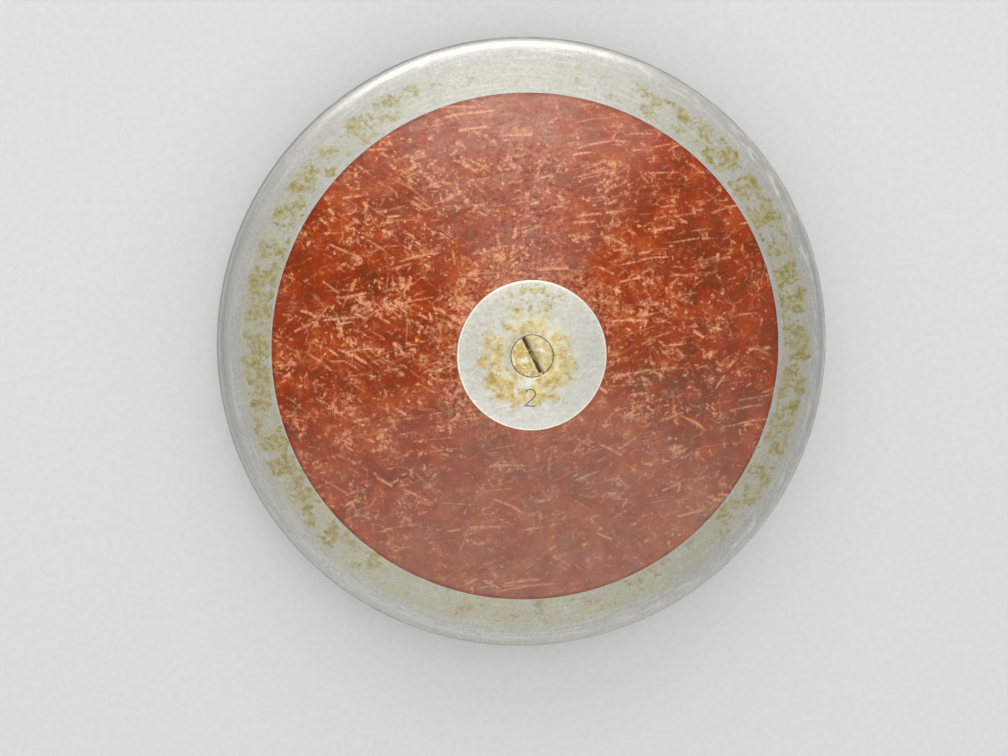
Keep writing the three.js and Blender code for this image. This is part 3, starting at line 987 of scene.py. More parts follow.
def passivated_zinc_rim(colours, group):
    """Zinc-plated steel, yellow passivated, over a turned ring.

    It gives the eye a cool satin grey with fine turned lines, olive-yellow islands where hands have
    not rubbed the passivation away, and a smoother, lighter band on the rounded edge with pale
    scuffs in it.
    """
    material, tree, shader = new_material("passivated_zinc_on_turned_steel")
    at = surface_places(tree)
    seam_mm = WOOD_RADIUS / MM
    edge_mm = OUTER_RADIUS / MM

    # Passivation is left in a band from beside the seam to the rounded edge: a thin wash all over
    # it, and islands of the full colour.
    shift = product(tree, by_turn(tree, at, BAND_SHIFT_BY_TURN), BAND_SHIFT_MM)
    moved = add(tree, "ShaderNodeMath", {0: at.radius, 1: shift}, operation="ADD").outputs[0]
    inner = over_span(tree, moved, seam_mm, BAND_INNER_SPAN)
    band = product(tree, inner, over_span(tree, moved, edge_mm, BAND_OUTER_SPAN, 1.0, 0.0))
    amount = by_turn(tree, at, PASSIVATE_BY_TURN)
    islands = add(tree, "ShaderNodeTexNoise", {"Vector": wavered(tree, at.place, *ISLAND_WAVER),
                                               "Scale": 1 / RIM_ISLAND_MM, "Detail": 6, "Roughness": 0.74})
    level = weighted_sum(tree, (product(tree, band, amount), 0.3), (islands, 1.0))
    scuff_places = wavered(tree, at.place, *RIM_SCUFF_WAVER)
    scuffs = scratch_marks(tree, group, scuff_places, inner, RIM_SCRATCHES, 40)
    kept = product(tree, smooth_range(tree, level, 0.74, 0.8), share_left(tree, scuffs))
    wash = product(tree, band, noise_step(tree, at.place, *RIM_WASH), by_turn(tree, at, WASH_BY_TURN))

    # The bare zinc, mottled, with drifts of dull and bright arcs in it.
    mottle = noise_step(tree, at.place, *RIM_MOTTLE)
    base = blend_colour(tree, mottle, colours.zinc_dull, colours.zinc)
    base = laid_over(tree, base, colours.zinc_dull, noise_step(tree, at.place, *RIM_DRIFTS), 0.3)
    base = laid_over(tree, base, colours.zinc_bright, turned_streaks(tree, at, edge_mm, *RIM_ARCS), 0.35)

    # The passivation over it.
    base = laid_over(tree, base, colours.passivate_pale, wash)
    film = blend_colour(tree, noise_step(tree, at.place, *RIM_FILM), colours.passivate,
                        colours.passivate_pale)
    thickness = smooth_range(tree, amount, 0.5, 0.95, 0.4, 1.0)
    film_share = product(tree, thickness, uneven(tree, at.place, RIM_FILM_THICKNESS, 0.7))
    base = laid_over(tree, base, film, kept, film_share)

    # What use has done: a rubbed edge, scuffs and pits; and a dull line of painted shade along the very
    # edge.
    rubbed = over_span(tree, at.radius, edge_mm, RUBBED_EDGE_SPAN)
    painted_edge_shade = over_span(tree, at.radius, edge_mm, PAINTED_EDGE_SHADE_SPAN)
    struck = product(tree, turned_streaks(tree, at, edge_mm, *EDGE_SCUFFS),
                     over_span(tree, at.radius, edge_mm, STRUCK_EDGE_SPAN),
                     by_turn(tree, at, EDGE_SCUFFED_BY_TURN))
    pits = noise_step(tree, at.place, *RIM_PITS)
    base = laid_over(tree, base, colours.zinc_bright, rubbed, 0.3)
    # A dull line of painted shade and dark reflection along the very edge.
    base = laid_over(tree, base, colours.steel, painted_edge_shade, 0.9)
    base = laid_over(tree, base, colours.zinc_bright, struck)
    base = laid_over(tree, base, colours.zinc_bright, scuffs, 0.6)
    base = laid_over(tree, base, colours.grime, pits, 0.55)

    shader.inputs["Metallic"].default_value = 1.0
    gloss = weighted_sum(tree, (mottle, -0.06), (rubbed, -0.08), (kept, 0.1), (struck, 0.1), (1.0, 0.5))
    lines = turned_lines(tree, at, RIM_LINES_PER_MM)
    relief = weighted_sum(tree, (lines, 1.0), (scuffs, -0.6), (mottle, 0.3), (pits, -1.0))
    link_finish(tree, shader, base, gloss, relief, RIM_RELIEF, 0.5)
    return material


# How much yellow passivation is left round the screw, by share of a turn from +X and by radius
# from the axis to the plate's edge.
PLATE_PASSIVATE_BY_TURN = ((0.0, 1.15), (0.07, 0.8), (0.14, 0.45), (0.25, 0.75), (0.37, 0.65), (0.5, 0.9),
                           (0.6, 1.1), (0.68, 1.0), (0.77, 0.75), (0.87, 1.1), (1.0, 1.15))
PLATE_PASSIVATE_BY_RADIUS = ((0.0, 0.4), (0.25, 0.45), (0.32, 0.6), (0.4, 0.95), (0.5, 1.0), (0.58, 0.8),
                             (0.66, 0.4), (0.76, 0.05), (1.0, 0.0))
# The middle of that ring, which lies a little off the axis: what is added to a place, in mm.
PLATE_PASSIVATE_MIDDLE = (-1.8, -1.5, 0)
# Where brown specks lie above the screw, by turn and by radius from the axis to the edge.
PLATE_SPECKED_BY_TURN = ((0.0, 0.1), (0.15, 0.25), (0.2, 1.0), (0.31, 1.0), (0.36, 0.2), (1.0, 0.1))
PLATE_SPECKED_BY_RADIUS = ((0.0, 0.0), (0.5, 0.3), (0.62, 1.0), (0.9, 1.0), (0.96, 0.3), (1.0, 0.0))
# How much a thin film of yellow tints the face round the screw, and how much the grime colour
# darkens the silver, most towards the top and the left.
PLATE_TINTED_BY_TURN = ((0.0, 1.1), (0.25, 1.3), (0.5, 0.9), (0.75, 0.75), (1.0, 1.1))
PLATE_DARKER_BY_TURN = ((0.0, 0.03), (0.12, 0.04), (0.25, 0.11), (0.5, 0.1), (0.65, 0.05), (1.0, 0.03))
PLATE_SCRATCHES = (
    (8, 14, 2.6, 0.38, 0.5, 0.6),
    (-35, 9, 3.0, 0.34, 1.0, 0.45),
    (75, 8, 3.2, 0.34, 1.2, 0.45),
    (35, 4, 2.4, 0.36, 1.8, 0.45),
)
PLATE_DARK_MARKS = (
    (-15, 7, 2.6, 0.3, 1.4, 0.4),
    (50, 2.0, 1.6, 0.36, 2.0, 0.35),
)
# Radii in mm: from the axis, outwards from the plate's edge, and outwards from the screw's head.
FILM_SPAN = (9, 17)
BRIGHT_RING_SPAN = (-4, -1.5)
# Where the plate's rounded edge is bright, partly a painted highlight.
ROUNDED_EDGE_SPAN = (-0.9, -0.6)
BESIDE_HEAD_SPAN = (2.8, 3.2)
# Depths in mm between which a stamped place turns brown.
STAMPED_DEPTHS = (0.06, 0.2)
# Patterns of noise, as in the lacquer, and the waves and reaches of what is pushed about.
PLATE_SCUFF_WAVER = (12, 2)
SPECK_WAVER = (2, 1)
PLATE_PATCHES = (6, 0.3, 0.65, 3)
PLATE_MOTTLE = (1.2, 0.3, 0.7, 4, 0.7)
PLATE_CLOUDS = (9, 0.35, 0.65, 3, 0.6)
PLATE_FILM = (2.2, 0.35, 0.65, 4, 0.65)
PLATE_STAINS = (1.5, 0.62, 0.74, 3, 0.6)
PLATE_SPECKS = (1.5, 0.52, 0.66, 4, 0.65)
PLATE_TINGE = (3, 0.4, 0.65, 3)
PLATE_THICK_FILM = (4, 0.44, 0.64, 4, 0.7)
# Streaks: a direction in degrees, and their length and width in mm.
PLATE_STREAKS = (4, 9.0, 0.45)
PLATE_ISLAND_MM = 4.5
PLATE_LINES_PER_MM = 3.5
PLATE_RELIEF = 0.03 * MM


def plate_passivation(tree, at):
    """How much yellow passivation is kept at each place of a plate: a broken ring of islands."""
    flat = add(tree, "ShaderNodeVectorMath", {0: at.place, 1: (1, 1, 0)}, operation="MULTIPLY")
    from_middle = add(tree, "ShaderNodeVectorMath", {0: flat, 1: PLATE_PASSIVATE_MIDDLE},
                      operation="DISTANCE").outputs["Value"]
    left = product(tree, ramp_over(tree, from_middle, 0, PLATE_RADIUS / MM, PLATE_PASSIVATE_BY_RADIUS),
                   by_turn(tree, at, PLATE_PASSIVATE_BY_TURN))
    islands = add(tree, "ShaderNodeTexNoise", {"Vector": wavered(tree, at.place, *ISLAND_WAVER),
                                               "Scale": 1 / PLATE_ISLAND_MM, "Detail": 5, "Roughness": 0.62})
    return smooth_range(tree, weighted_sum(tree, (left, 0.36), (islands, 1.0)), 0.62, 0.84)


def passivated_zinc_plate(colours, group):
    """Zinc-plated turned steel, yellow passivated and polished bare by hands.

    It gives the eye a bright silver face with fine scratches every way, a broken ring of yellow
    round the screw, where fingers don't reach, and brown grime in its marks.
    """
    material, tree, shader = new_material("rubbed_zinc_on_turned_steel")
    at = surface_places(tree)
    plate_mm = PLATE_RADIUS / MM
    kept = plate_passivation(tree, at)
    scuffs = scratch_marks(tree, group, wavered(tree, at.place, *PLATE_SCUFF_WAVER), 1.0, PLATE_SCRATCHES, 60)
    dark_marks = scratch_marks(tree, group, at.place, 1.0, PLATE_DARK_MARKS, 70)

    # The rubbed silver, mottled and clouded, with a thin film of yellow, and a little darker towards
    # the top and the left.
    mottle = noise_step(tree, at.place, *PLATE_MOTTLE)
    polish = smooth_range(tree, at.radius, *FILM_SPAN, 0.55, 0.1)
    base = blend_colour(tree, product(tree, mottle, 0.35), colours.zinc_dull, colours.zinc)
    base = laid_over(tree, base, colours.zinc, noise_step(tree, at.place, *PLATE_PATCHES), 0.2)
    base = laid_over(tree, base, colours.zinc_dull, noise_step(tree, at.place, *PLATE_CLOUDS), 0.5)
    base = laid_over(tree, base, colours.zinc_bright, rub_streaks(tree, at.place, *PLATE_STREAKS), 0.2)
    base = laid_over(tree, base, colours.passivate_pale, polish, by_turn(tree, at, PLATE_TINTED_BY_TURN))
    base = laid_over(tree, base, colours.grime, by_turn(tree, at, PLATE_DARKER_BY_TURN))

    # The passivation that is left, golden and paler in patches.
    film = blend_colour(tree, noise_step(tree, at.place, *PLATE_FILM), colours.passivate_pale,
                        colours.passivate_gold)
    base = laid_over(tree, base, film, kept, 0.9)

    # Brown specks above the screw, thick film, stains, and dark and bright scratches.
    speck_places = wavered(tree, at.place, *SPECK_WAVER)
    specked = product(tree, by_turn(tree, at, PLATE_SPECKED_BY_TURN),
                      ramp_over(tree, at.radius, 0, plate_mm, PLATE_SPECKED_BY_RADIUS))
    specks = product(tree, noise_step(tree, speck_places, *PLATE_SPECKS), specked)
    tinge = product(tree, noise_step(tree, at.place, *PLATE_TINGE), specked)
    base = laid_over(tree, base, colours.passivate, tinge, 0.65)
    base = laid_over(tree, base, colours.grime, specks, 0.4)
    base = laid_over(tree, base, colours.passivate_deep, noise_step(tree, at.place, *PLATE_THICK_FILM), kept,
                     0.75)
    stained = smooth_range(tree, kept, 0, 1, 0.15, 0.6)
    base = laid_over(tree, base, colours.grime, noise_step(tree, speck_places, *PLATE_STAINS), stained)
    base = laid_over(tree, base, colours.grime, dark_marks, 0.4)
    base = laid_over(tree, base, colours.edge_bright, scuffs, 0.8)

    # The bright edge, worn bright and with a painted highlight on it, and grime in the numeral, which
    # is neither the edge nor the hole.
    rounded = over_span(tree, at.radius, plate_mm, ROUNDED_EDGE_SPAN)
    base = laid_over(tree, base, colours.zinc_bright,
                     over_span(tree, at.radius, plate_mm, BRIGHT_RING_SPAN, 0.0, 0.1))
    # The rounded edge, worn bright and with a painted highlight.
    base = laid_over(tree, base, colours.edge_bright, rounded)
    stamped = product(tree, smooth_range(tree, depth_below(tree, at, PLATE_TOP), *STAMPED_DEPTHS),
                      share_left(tree, rounded),
                      over_span(tree, at.radius, HEAD_RADIUS / MM, BESIDE_HEAD_SPAN))
    base = laid_over(tree, base, colours.grime, stamped, 0.65)

    # The turned lines run round the axis, and spread the gloss across themselves, so that it
    # stands in a fan above the screw and in one below it.
    around = add(tree, "ShaderNodeTangent", direction_type="RADIAL", axis="Z")
    tree.links.new(around.outputs[0], shader.inputs["Tangent"])
    shader.inputs["Metallic"].default_value = 1.0
    shader.inputs["Anisotropic"].default_value = 0.5
    shader.inputs["Anisotropic Rotation"].default_value = 0.25
    gloss = weighted_sum(tree, (mottle, -0.1), (polish, -0.12), (1.0, 0.44))
    relief = weighted_sum(tree, (turned_lines(tree, at, PLATE_LINES_PER_MM), 1.0), (scuffs, -0.8))
    link_finish(tree, shader, base, gloss, relief, PLATE_RELIEF, 0.6)
    return material


# Where the head's yellow is deepest: on its left and below, where it is rubbed least.
SCREW_GOLD_BY_TURN = ((0.0, 0.7), (0.3, 0.7), (0.43, 1.4), (0.6, 1.4), (0.8, 1.0), (1.0, 0.7))
# Patterns of noise, as in the lacquer, and the waves and reach of what is pushed about.
SCREW_WAVER = (2, 1.5)
SCREW_WORN = (3.0, 0.46, 0.66, 4, 0.6)
SCREW_GOLD = (2.0, 0.34, 0.64, 4, 0.65)
SLOT_GRIT = (2.2, 0.4, 0.6)
# Depths in mm below the head's face, where the darker lip of the slot and the grime in it begin
# and are full, both grime and painted shade that deepen with depth, and the radii between which the
# grime is rubbed from the slot's floor.
SLOT_LIP_GRIME_AND_SHADE_DEPTHS = (0.04, 0.25)
SLOT_GRIME_AND_SHADE_DEPTHS = (0.45, 0.8)
SLOT_RUBBED_RADII = (1.5, 5)
SCREW_RELIEF = 0.03 * MM


def yellow_zinc_screw(colours, group):
    """Zinc-plated steel, yellow passivated, on a pressed screw head.

    It gives the eye a pale gold head, silver where drivers and hands have rubbed it, with grime and
    painted shade in its slot.
    """
    material, tree, shader = new_material("yellow_zinc_on_pressed_steel")
    at = surface_places(tree)
    depth = depth_below(tree, at, HEAD_TOP)
    worn = noise_step(tree, wavered(tree, at.place, *SCREW_WAVER), *SCREW_WORN)
    scuffs = scratch_marks(tree, group, at.place, 1.0, PLATE_SCRATCHES, 80)

    base = blend_colour(tree, worn, colours.passivate_cream, colours.zinc)
    base = laid_over(tree, base, colours.passivate_gold, noise_step(tree, at.place, *SCREW_GOLD),
                     by_turn(tree, at, SCREW_GOLD_BY_TURN))
    base = laid_over(tree, base, colours.grime, scuffs, 0.5)
    # The slot's lip and the head's rounded edge darken with depth: grime and painted shade.
    base = laid_over(tree, base, colours.grime, smooth_range(tree, depth, *SLOT_LIP_GRIME_AND_SHADE_DEPTHS, 0.0, 0.3))
    # Deeper in the slot, grime and painted shade, dull and not metallic.
    slot_grime_and_shade = smooth_range(tree, depth, *SLOT_GRIME_AND_SHADE_DEPTHS)
    slot_worn = product(tree, noise_step(tree, at.place, *SLOT_GRIT),
                        smooth_range(tree, at.radius, *SLOT_RUBBED_RADII, 0.6, 0.0))
    slot_colour = blend_colour(tree, slot_worn, colours.grime, colours.passivate_cream)
    base = laid_over(tree, base, slot_colour, slot_grime_and_shade, 0.95)

    tree.links.new(share_left(tree, slot_grime_and_shade), shader.inputs["Metallic"])
    gloss = weighted_sum(tree, (worn, -0.1), (slot_grime_and_shade, 0.3), (1.0, 0.45))
    relief = weighted_sum(tree, (scuffs, -1.0), (worn, 1.0))
    link_finish(tree, shader, base, gloss, relief, SCREW_RELIEF, 0.6)
    return material


STEEL_LINES_PER_MM = 5.0
BEECH_FLECKS = (0.8, 0.45, 0.7, 3)
# The share of its width that a fleck's noise keeps along the grain, so that flecks are drawn out.
BEECH_GRAIN_SHARE = 0.12
FLOOR_GRAIN = (2.5, 0.3, 0.7, 3)
FLOOR_GRAIN_TONE = 0.96


def turned_steel(colours):
    """Plain mild steel, turned and oiled.

    It gives the eye a dull grey with fine rings from the lathe.
    """
    material, tree, shader = new_material("turned_mild_steel")
    lines = turned_lines(tree, surface_places(tree), STEEL_LINES_PER_MM, 2)
    darker = add(tree, "ShaderNodeMapRange", {0: lines, 1: 0.3, 2: 0.7, 4: 0.3}).outputs[0]
    tree.links.new(blend_colour(tree, darker, colours.steel, colours.grime), shader.inputs["Base Color"])
    gloss = add(tree, "ShaderNodeMapRange", {0: lines, 3: 0.4, 4: 0.55})
    tree.links.new(gloss.outputs[0], shader.inputs["Roughness"])
    shader.inputs["Metallic"].default_value = 1.0
    return material


def bare_beech(colours):
    """Bare beech, turned along its grain.

    It gives the eye a pale brown with short darker flecks along the dowel.
    """
    material, tree, shader = new_material("bare_turned_beech")
    at = surface_places(tree)
    stretched = add(tree, "ShaderNodeVectorMath", {0: at.place, 1: (1, 1, BEECH_GRAIN_SHARE)},
                    operation="MULTIPLY")
    flecks = noise_step(tree, stretched, *BEECH_FLECKS)
    tree.links.new(laid_over(tree, colours.beech, colours.lacquer_brown, flecks, 0.5),
                   shader.inputs["Base Color"])
    gloss = add(tree, "ShaderNodeMapRange", {0: flecks, 3: 0.6, 4: 0.75})
    tree.links.new(gloss.outputs[0], shader.inputs["Roughness"])
    return material


def painted_floor(colours):
    """Pale matt paint, put on a board with a roller.

    It gives the eye an even light ground with a faint grain.
    """
    material, tree, shader = new_material("pale_matt_paint")
    grain = noise_step(tree, surface_places(tree).place, *FLOOR_GRAIN)
    darker = tuple(channel * FLOOR_GRAIN_TONE for channel in colours.floor)
    tree.links.new(blend_colour(tree, grain, colours.floor, darker), shader.inputs["Base Color"])
    shader.inputs["Roughness"].default_value = 0.7
    return material


class DISCUS_OT_stage(bpy.types.Operator):
    """Make the floor, the soft lights and the camera"""

    bl_idname = "discus.stage"
    bl_label = "Stage"

    # The camera of the photograph, fitted to the rim, the seam and the plate. It shows nothing that
    # is nearer than its last value.
    eye = Vector((-36.9, 39.0, 439.1)) * MM
    aim = Vector((-8.1, -10.1, 22.5)) * MM
    focal_length = 41.53
    sensor_width = 36
    nearest_shown = 10 * MM

    # Each light is white, and is a name, its place and size in metres and its power in watts.
    lights = (
        ("top_softbox", (-0.15, 1.5, 0.64), (1.8, 1.2), 11.0),
        ("lower_softbox", (-0.1, -1.2, 1.1), (1.6, 0.9), 1.2),
        ("overhead_softbox", (0.04, 0.24, 1.9), (0.9, 2.1), 9.2),
    )
    floor_radius = 3.0
    floor_sides = 96
    sky_overhead = "cacbcd"
    sky_horizon = "e0e0e0"
    sky_beside = "a2a3a4"
    # Between which heights the sky turns from the horizon's tone to the one overhead, and how far
    # to the side its darker cards begin and are full. Both are shares of the way there.
    sky_heights = (0.0, 0.7)
    card_places = (0.75, 0.97)

    def execute(self, context):
        """Builds the stage."""
        scene = context.scene
        colours = scene.discus_colours
        self.add_floor(scene, colours)
        self.add_lights(scene)
        self.add_camera(scene)
        scene.view_settings.view_transform = "Standard"
        return {"FINISHED"}

    def add_floor(self, scene, colours):
        """A wide round floor at height zero."""
        disc = bmesh.new()
        bmesh.ops.create_circle(disc, cap_ends=True, segments=self.floor_sides, radius=self.floor_radius)
        mesh = mesh_from("floor", disc)
        mesh.materials.append(painted_floor(colours))
        floor = bpy.data.objects.new("floor", mesh)
        scene.collection.objects.link(floor)

    def add_lights(self, scene):
        """Large softboxes and an even sky, with a darker card on the left and the right."""
        for name, place, size, power in self.lights:
            light = bpy.data.lights.new(name, "AREA")
            light.shape = "RECTANGLE"
            light.size, light.size_y = size
            light.energy = power
            lamp = bpy.data.objects.new(name, light)
            lamp.location = place
            lamp.rotation_euler = (-Vector(place)).to_track_quat("-Z", "Y").to_euler()
            scene.collection.objects.link(lamp)
        world = bpy.data.worlds.new("studio")
        world.use_nodes = True
        tree = world.node_tree
        way = add(tree, "ShaderNodeTexCoord")
        parts = add(tree, "ShaderNodeSeparateXYZ", {0: way.outputs["Generated"]})
        share = smooth_range(tree, parts.outputs[2], *self.sky_heights)
        beside = add(tree, "ShaderNodeMath", {0: parts.outputs[0]}, operation="ABSOLUTE")
        side_share = smooth_range(tree, beside, *self.card_places)
        horizon = blend_colour(tree, side_share, linear(self.sky_horizon), linear(self.sky_beside))
        sky = blend_colour(tree, share, horizon, linear(self.sky_overhead))
        tree.links.new(sky, tree.nodes["Background"].inputs["Color"])
        scene.world = world

    def add_camera(self, scene):
        """The photograph's camera, with +Y of the discus towards the top of the picture."""
        data = bpy.data.cameras.new("camera")
        data.sensor_width = self.sensor_width
        data.lens = self.focal_length
        data.clip_start = self.nearest_shown
        forward = (self.aim - self.eye).normalized()
        right = forward.cross(Vector((0, 1, 0))).normalized()
        up = right.cross(forward)
        camera = bpy.data.objects.new("camera", data)
        turn = Matrix((right, up, -forward)).transposed().to_4x4()
        camera.matrix_world = Matrix.Translation(self.eye) @ turn
        scene.collection.objects.link(camera)
        scene.camera = camera


class DISCUS_OT_rim(bpy.types.Operator):
    """Make the plated steel rim with its tongue and its nicks"""

    bl_idname = "discus.rim"
    bl_label = "Rim"

    sides = 600
    arc_steps = 40
    ring_spacing = 0.9 * MM
    nick_seed = 7
    nick_count = 46
    # How far round the edge nicks lie above and below its middle, in radians.
    nick_reach = 1.2
    nick_size = (0.5 * MM, 1.6 * MM)
    nick_depth = (0.05 * MM, 0.28 * MM)

    def execute(self, context):
        """Builds the rim."""
        sizes = context.scene.discus_sizes
        mesh = turned_mesh("plated_rim", self.outline(sizes), self.sides)
        shift_vertices(mesh, lambda places: self.nicks(sizes, places))
        material = passivated_zinc_rim(context.scene.discus_colours, bpy.data.node_groups["scratches"])
        rim = piece_from(mesh, material, "zinc_plated_rim", "rim")
        cut_away(rim, dowel_drills(sizes))
        shade(rim)
        return {"FINISHED"}

    def outline(self, sizes):
        """Section of the rim: tongue, seam edge, straight flank and rounded edge."""
        slope = flank_angle(sizes)
        seam = WOOD_RADIUS + sizes.seam_gap
        tongue_radius = seam - sizes.tongue_width
        half_tongue = sizes.tongue_thickness / 2
        edge_centre = OUTER_RADIUS - sizes.edge_radius
        reach = math.pi / 2 - slope
        upper = []
        for step in range(self.arc_steps // 2 + 1):
            angle = reach * 2 * step / self.arc_steps
            radius = edge_centre + sizes.edge_radius * math.cos(angle)
            upper.append((radius, sizes.edge_radius * math.sin(angle), 0))
        upper += [
            (seam, flank_height(sizes, seam), sizes.seam_round),
            (seam, half_tongue, 0),
            (tongue_radius, half_tongue, 0),
        ]
        lower = [(radius, -height, rounding) for radius, height, rounding in reversed(upper) if height]
        points = rounded_outline(upper + lower)
        return divided_outline(points, self.ring_spacing, (seam, OUTER_RADIUS))

    def nicks(self, sizes, places):
        """Small dents in the rounded edge, as inward shifts of its vertices."""
        chance = np.random.default_rng(self.nick_seed)
        edge_centre = OUTER_RADIUS - sizes.edge_radius
        shift = np.zeros_like(places)
        for _ in range(self.nick_count):
            angle = chance.uniform(0, 2 * math.pi)
            rise = chance.uniform(-self.nick_reach, self.nick_reach)
            size = chance.uniform(*self.nick_size)
            depth = chance.uniform(*self.nick_depth)
            radius = edge_centre + sizes.edge_radius * math.cos(rise)
            centre = np.array((radius * math.cos(angle), radius * math.sin(angle),
                               MIDDLE_HEIGHT + sizes.edge_radius * math.sin(rise)))
            inward = -np.array((math.cos(rise) * math.cos(angle), math.cos(rise) * math.sin(angle),
                                math.sin(rise)))
            away = np.sum((places - centre) ** 2, axis=1)
            shift += (depth * np.exp(-away / size ** 2))[:, None] * inward
        return shift


class DISCUS_OT_wood_sides(bpy.types.Operator):
    """Make the two lacquered wooden sides with their dents"""

    bl_idname = "discus.wood_sides"
    bl_label = "Wooden sides"

    # The seed of each side's pattern, and the share of a turn by which its wear is turned.
    patterns = {"front": (1, 0.0), "rear": (2, 0.37)}
    sides = 480
    ring_spacing = 0.9 * MM
    dent_seed = 11
    dent_count = 90
    dent_margin = 3 * MM
    dent_size = (0.5 * MM, 1.8 * MM)
    dent_depth = (0.03 * MM, 0.16 * MM)
    swell = 0.05 * MM
    swell_size = 14 * MM

    def execute(self, context):
        """Builds both wooden sides."""
        sizes = context.scene.discus_sizes
        group = bpy.data.node_groups["scratches"]
        for name, side in SIDES:
            mesh = turned_mesh(f"{name}_lacquered_side", self.outline(sizes), self.sides, side)
            shift_vertices(mesh, lambda places: self.dents(sizes, places, side))
            material = red_lacquer_on_beech(context.scene.discus_colours, group, *self.patterns[name])
            piece = piece_from(mesh, material, "red_lacquered_beech", f"{name}_wood_side")
            cut_away(piece, dowel_drills(sizes))
            shade(piece)
        return {"FINISHED"}

    def outline(self, sizes):
        """Section of a wooden side, from the middle plane to its flank and the plate's recess."""
        seam = WOOD_RADIUS + sizes.seam_gap
        step_radius = seam - sizes.tongue_width - sizes.seam_gap
        step_height = sizes.tongue_thickness / 2 + sizes.seam_gap
        recess_radius = PLATE_RADIUS + sizes.plate_clearance
        worn_radius = recess_radius + sizes.worn_width
        washer_recess = WASHER_RADIUS + sizes.plate_clearance
        bore = SLEEVE_RADIUS + sizes.fit_clearance
        corners = [
            (bore, 0, 0),
            (step_radius, 0, 0),
            (step_radius, step_height, 0),
            (WOOD_RADIUS, step_height, 0),
            (WOOD_RADIUS, flank_height(sizes, WOOD_RADIUS), sizes.seam_round),
            (worn_radius, flank_height(sizes, worn_radius), 0),
            (recess_radius, PLATE_TOP - sizes.plate_step, sizes.seam_round),
            (recess_radius, PLATE_UNDERSIDE, 0),
            (washer_recess, PLATE_UNDERSIDE, 0),
            (washer_recess, WASHER_UNDERSIDE, 0),
            (bore, WASHER_UNDERSIDE, 0),
        ]
        points = rounded_outline(corners)
        flank = [index for index, (_, height) in enumerate(points) if height > step_height]
        first, after = flank[0], flank[-1] + 1
        fine = divided_outline(points[first:after], self.ring_spacing, (recess_radius, WOOD_RADIUS))
        return points[:first] + fine + points[after:]

    def dents(self, sizes, places, side):
        """Dents and a faint swell in the flank, as shifts along the axis."""
        chance = np.random.default_rng(self.dent_seed + side)
        radii = np.hypot(places[:, 0], places[:, 1])
        height = side * (places[:, 2] - MIDDLE_HEIGHT)
        # The flank is all that lies outside the recess and higher than the rim's edge.
        on_flank = (radii > PLATE_RADIUS + sizes.plate_clearance) & (height > sizes.edge_radius)
        inner = PLATE_RADIUS + self.dent_margin
        depth = np.zeros(len(places))
        for _ in range(self.dent_count):
            radius = chance.uniform(inner, WOOD_RADIUS)
            angle = chance.uniform(0, 2 * math.pi)
            size = chance.uniform(*self.dent_size)
            deep = chance.uniform(*self.dent_depth)
            away = ((places[:, 0] - radius * math.cos(angle)) ** 2
                    + (places[:, 1] - radius * math.sin(angle)) ** 2)
            depth += deep * np.exp(-away / size ** 2)
        for index in np.flatnonzero(on_flank):
            depth[index] += self.swell * noise.noise(Vector(places[index]) / self.swell_size)
        shift = np.zeros_like(places)
        shift[:, 2] = np.where(on_flank, -side * depth, 0)
        return shift


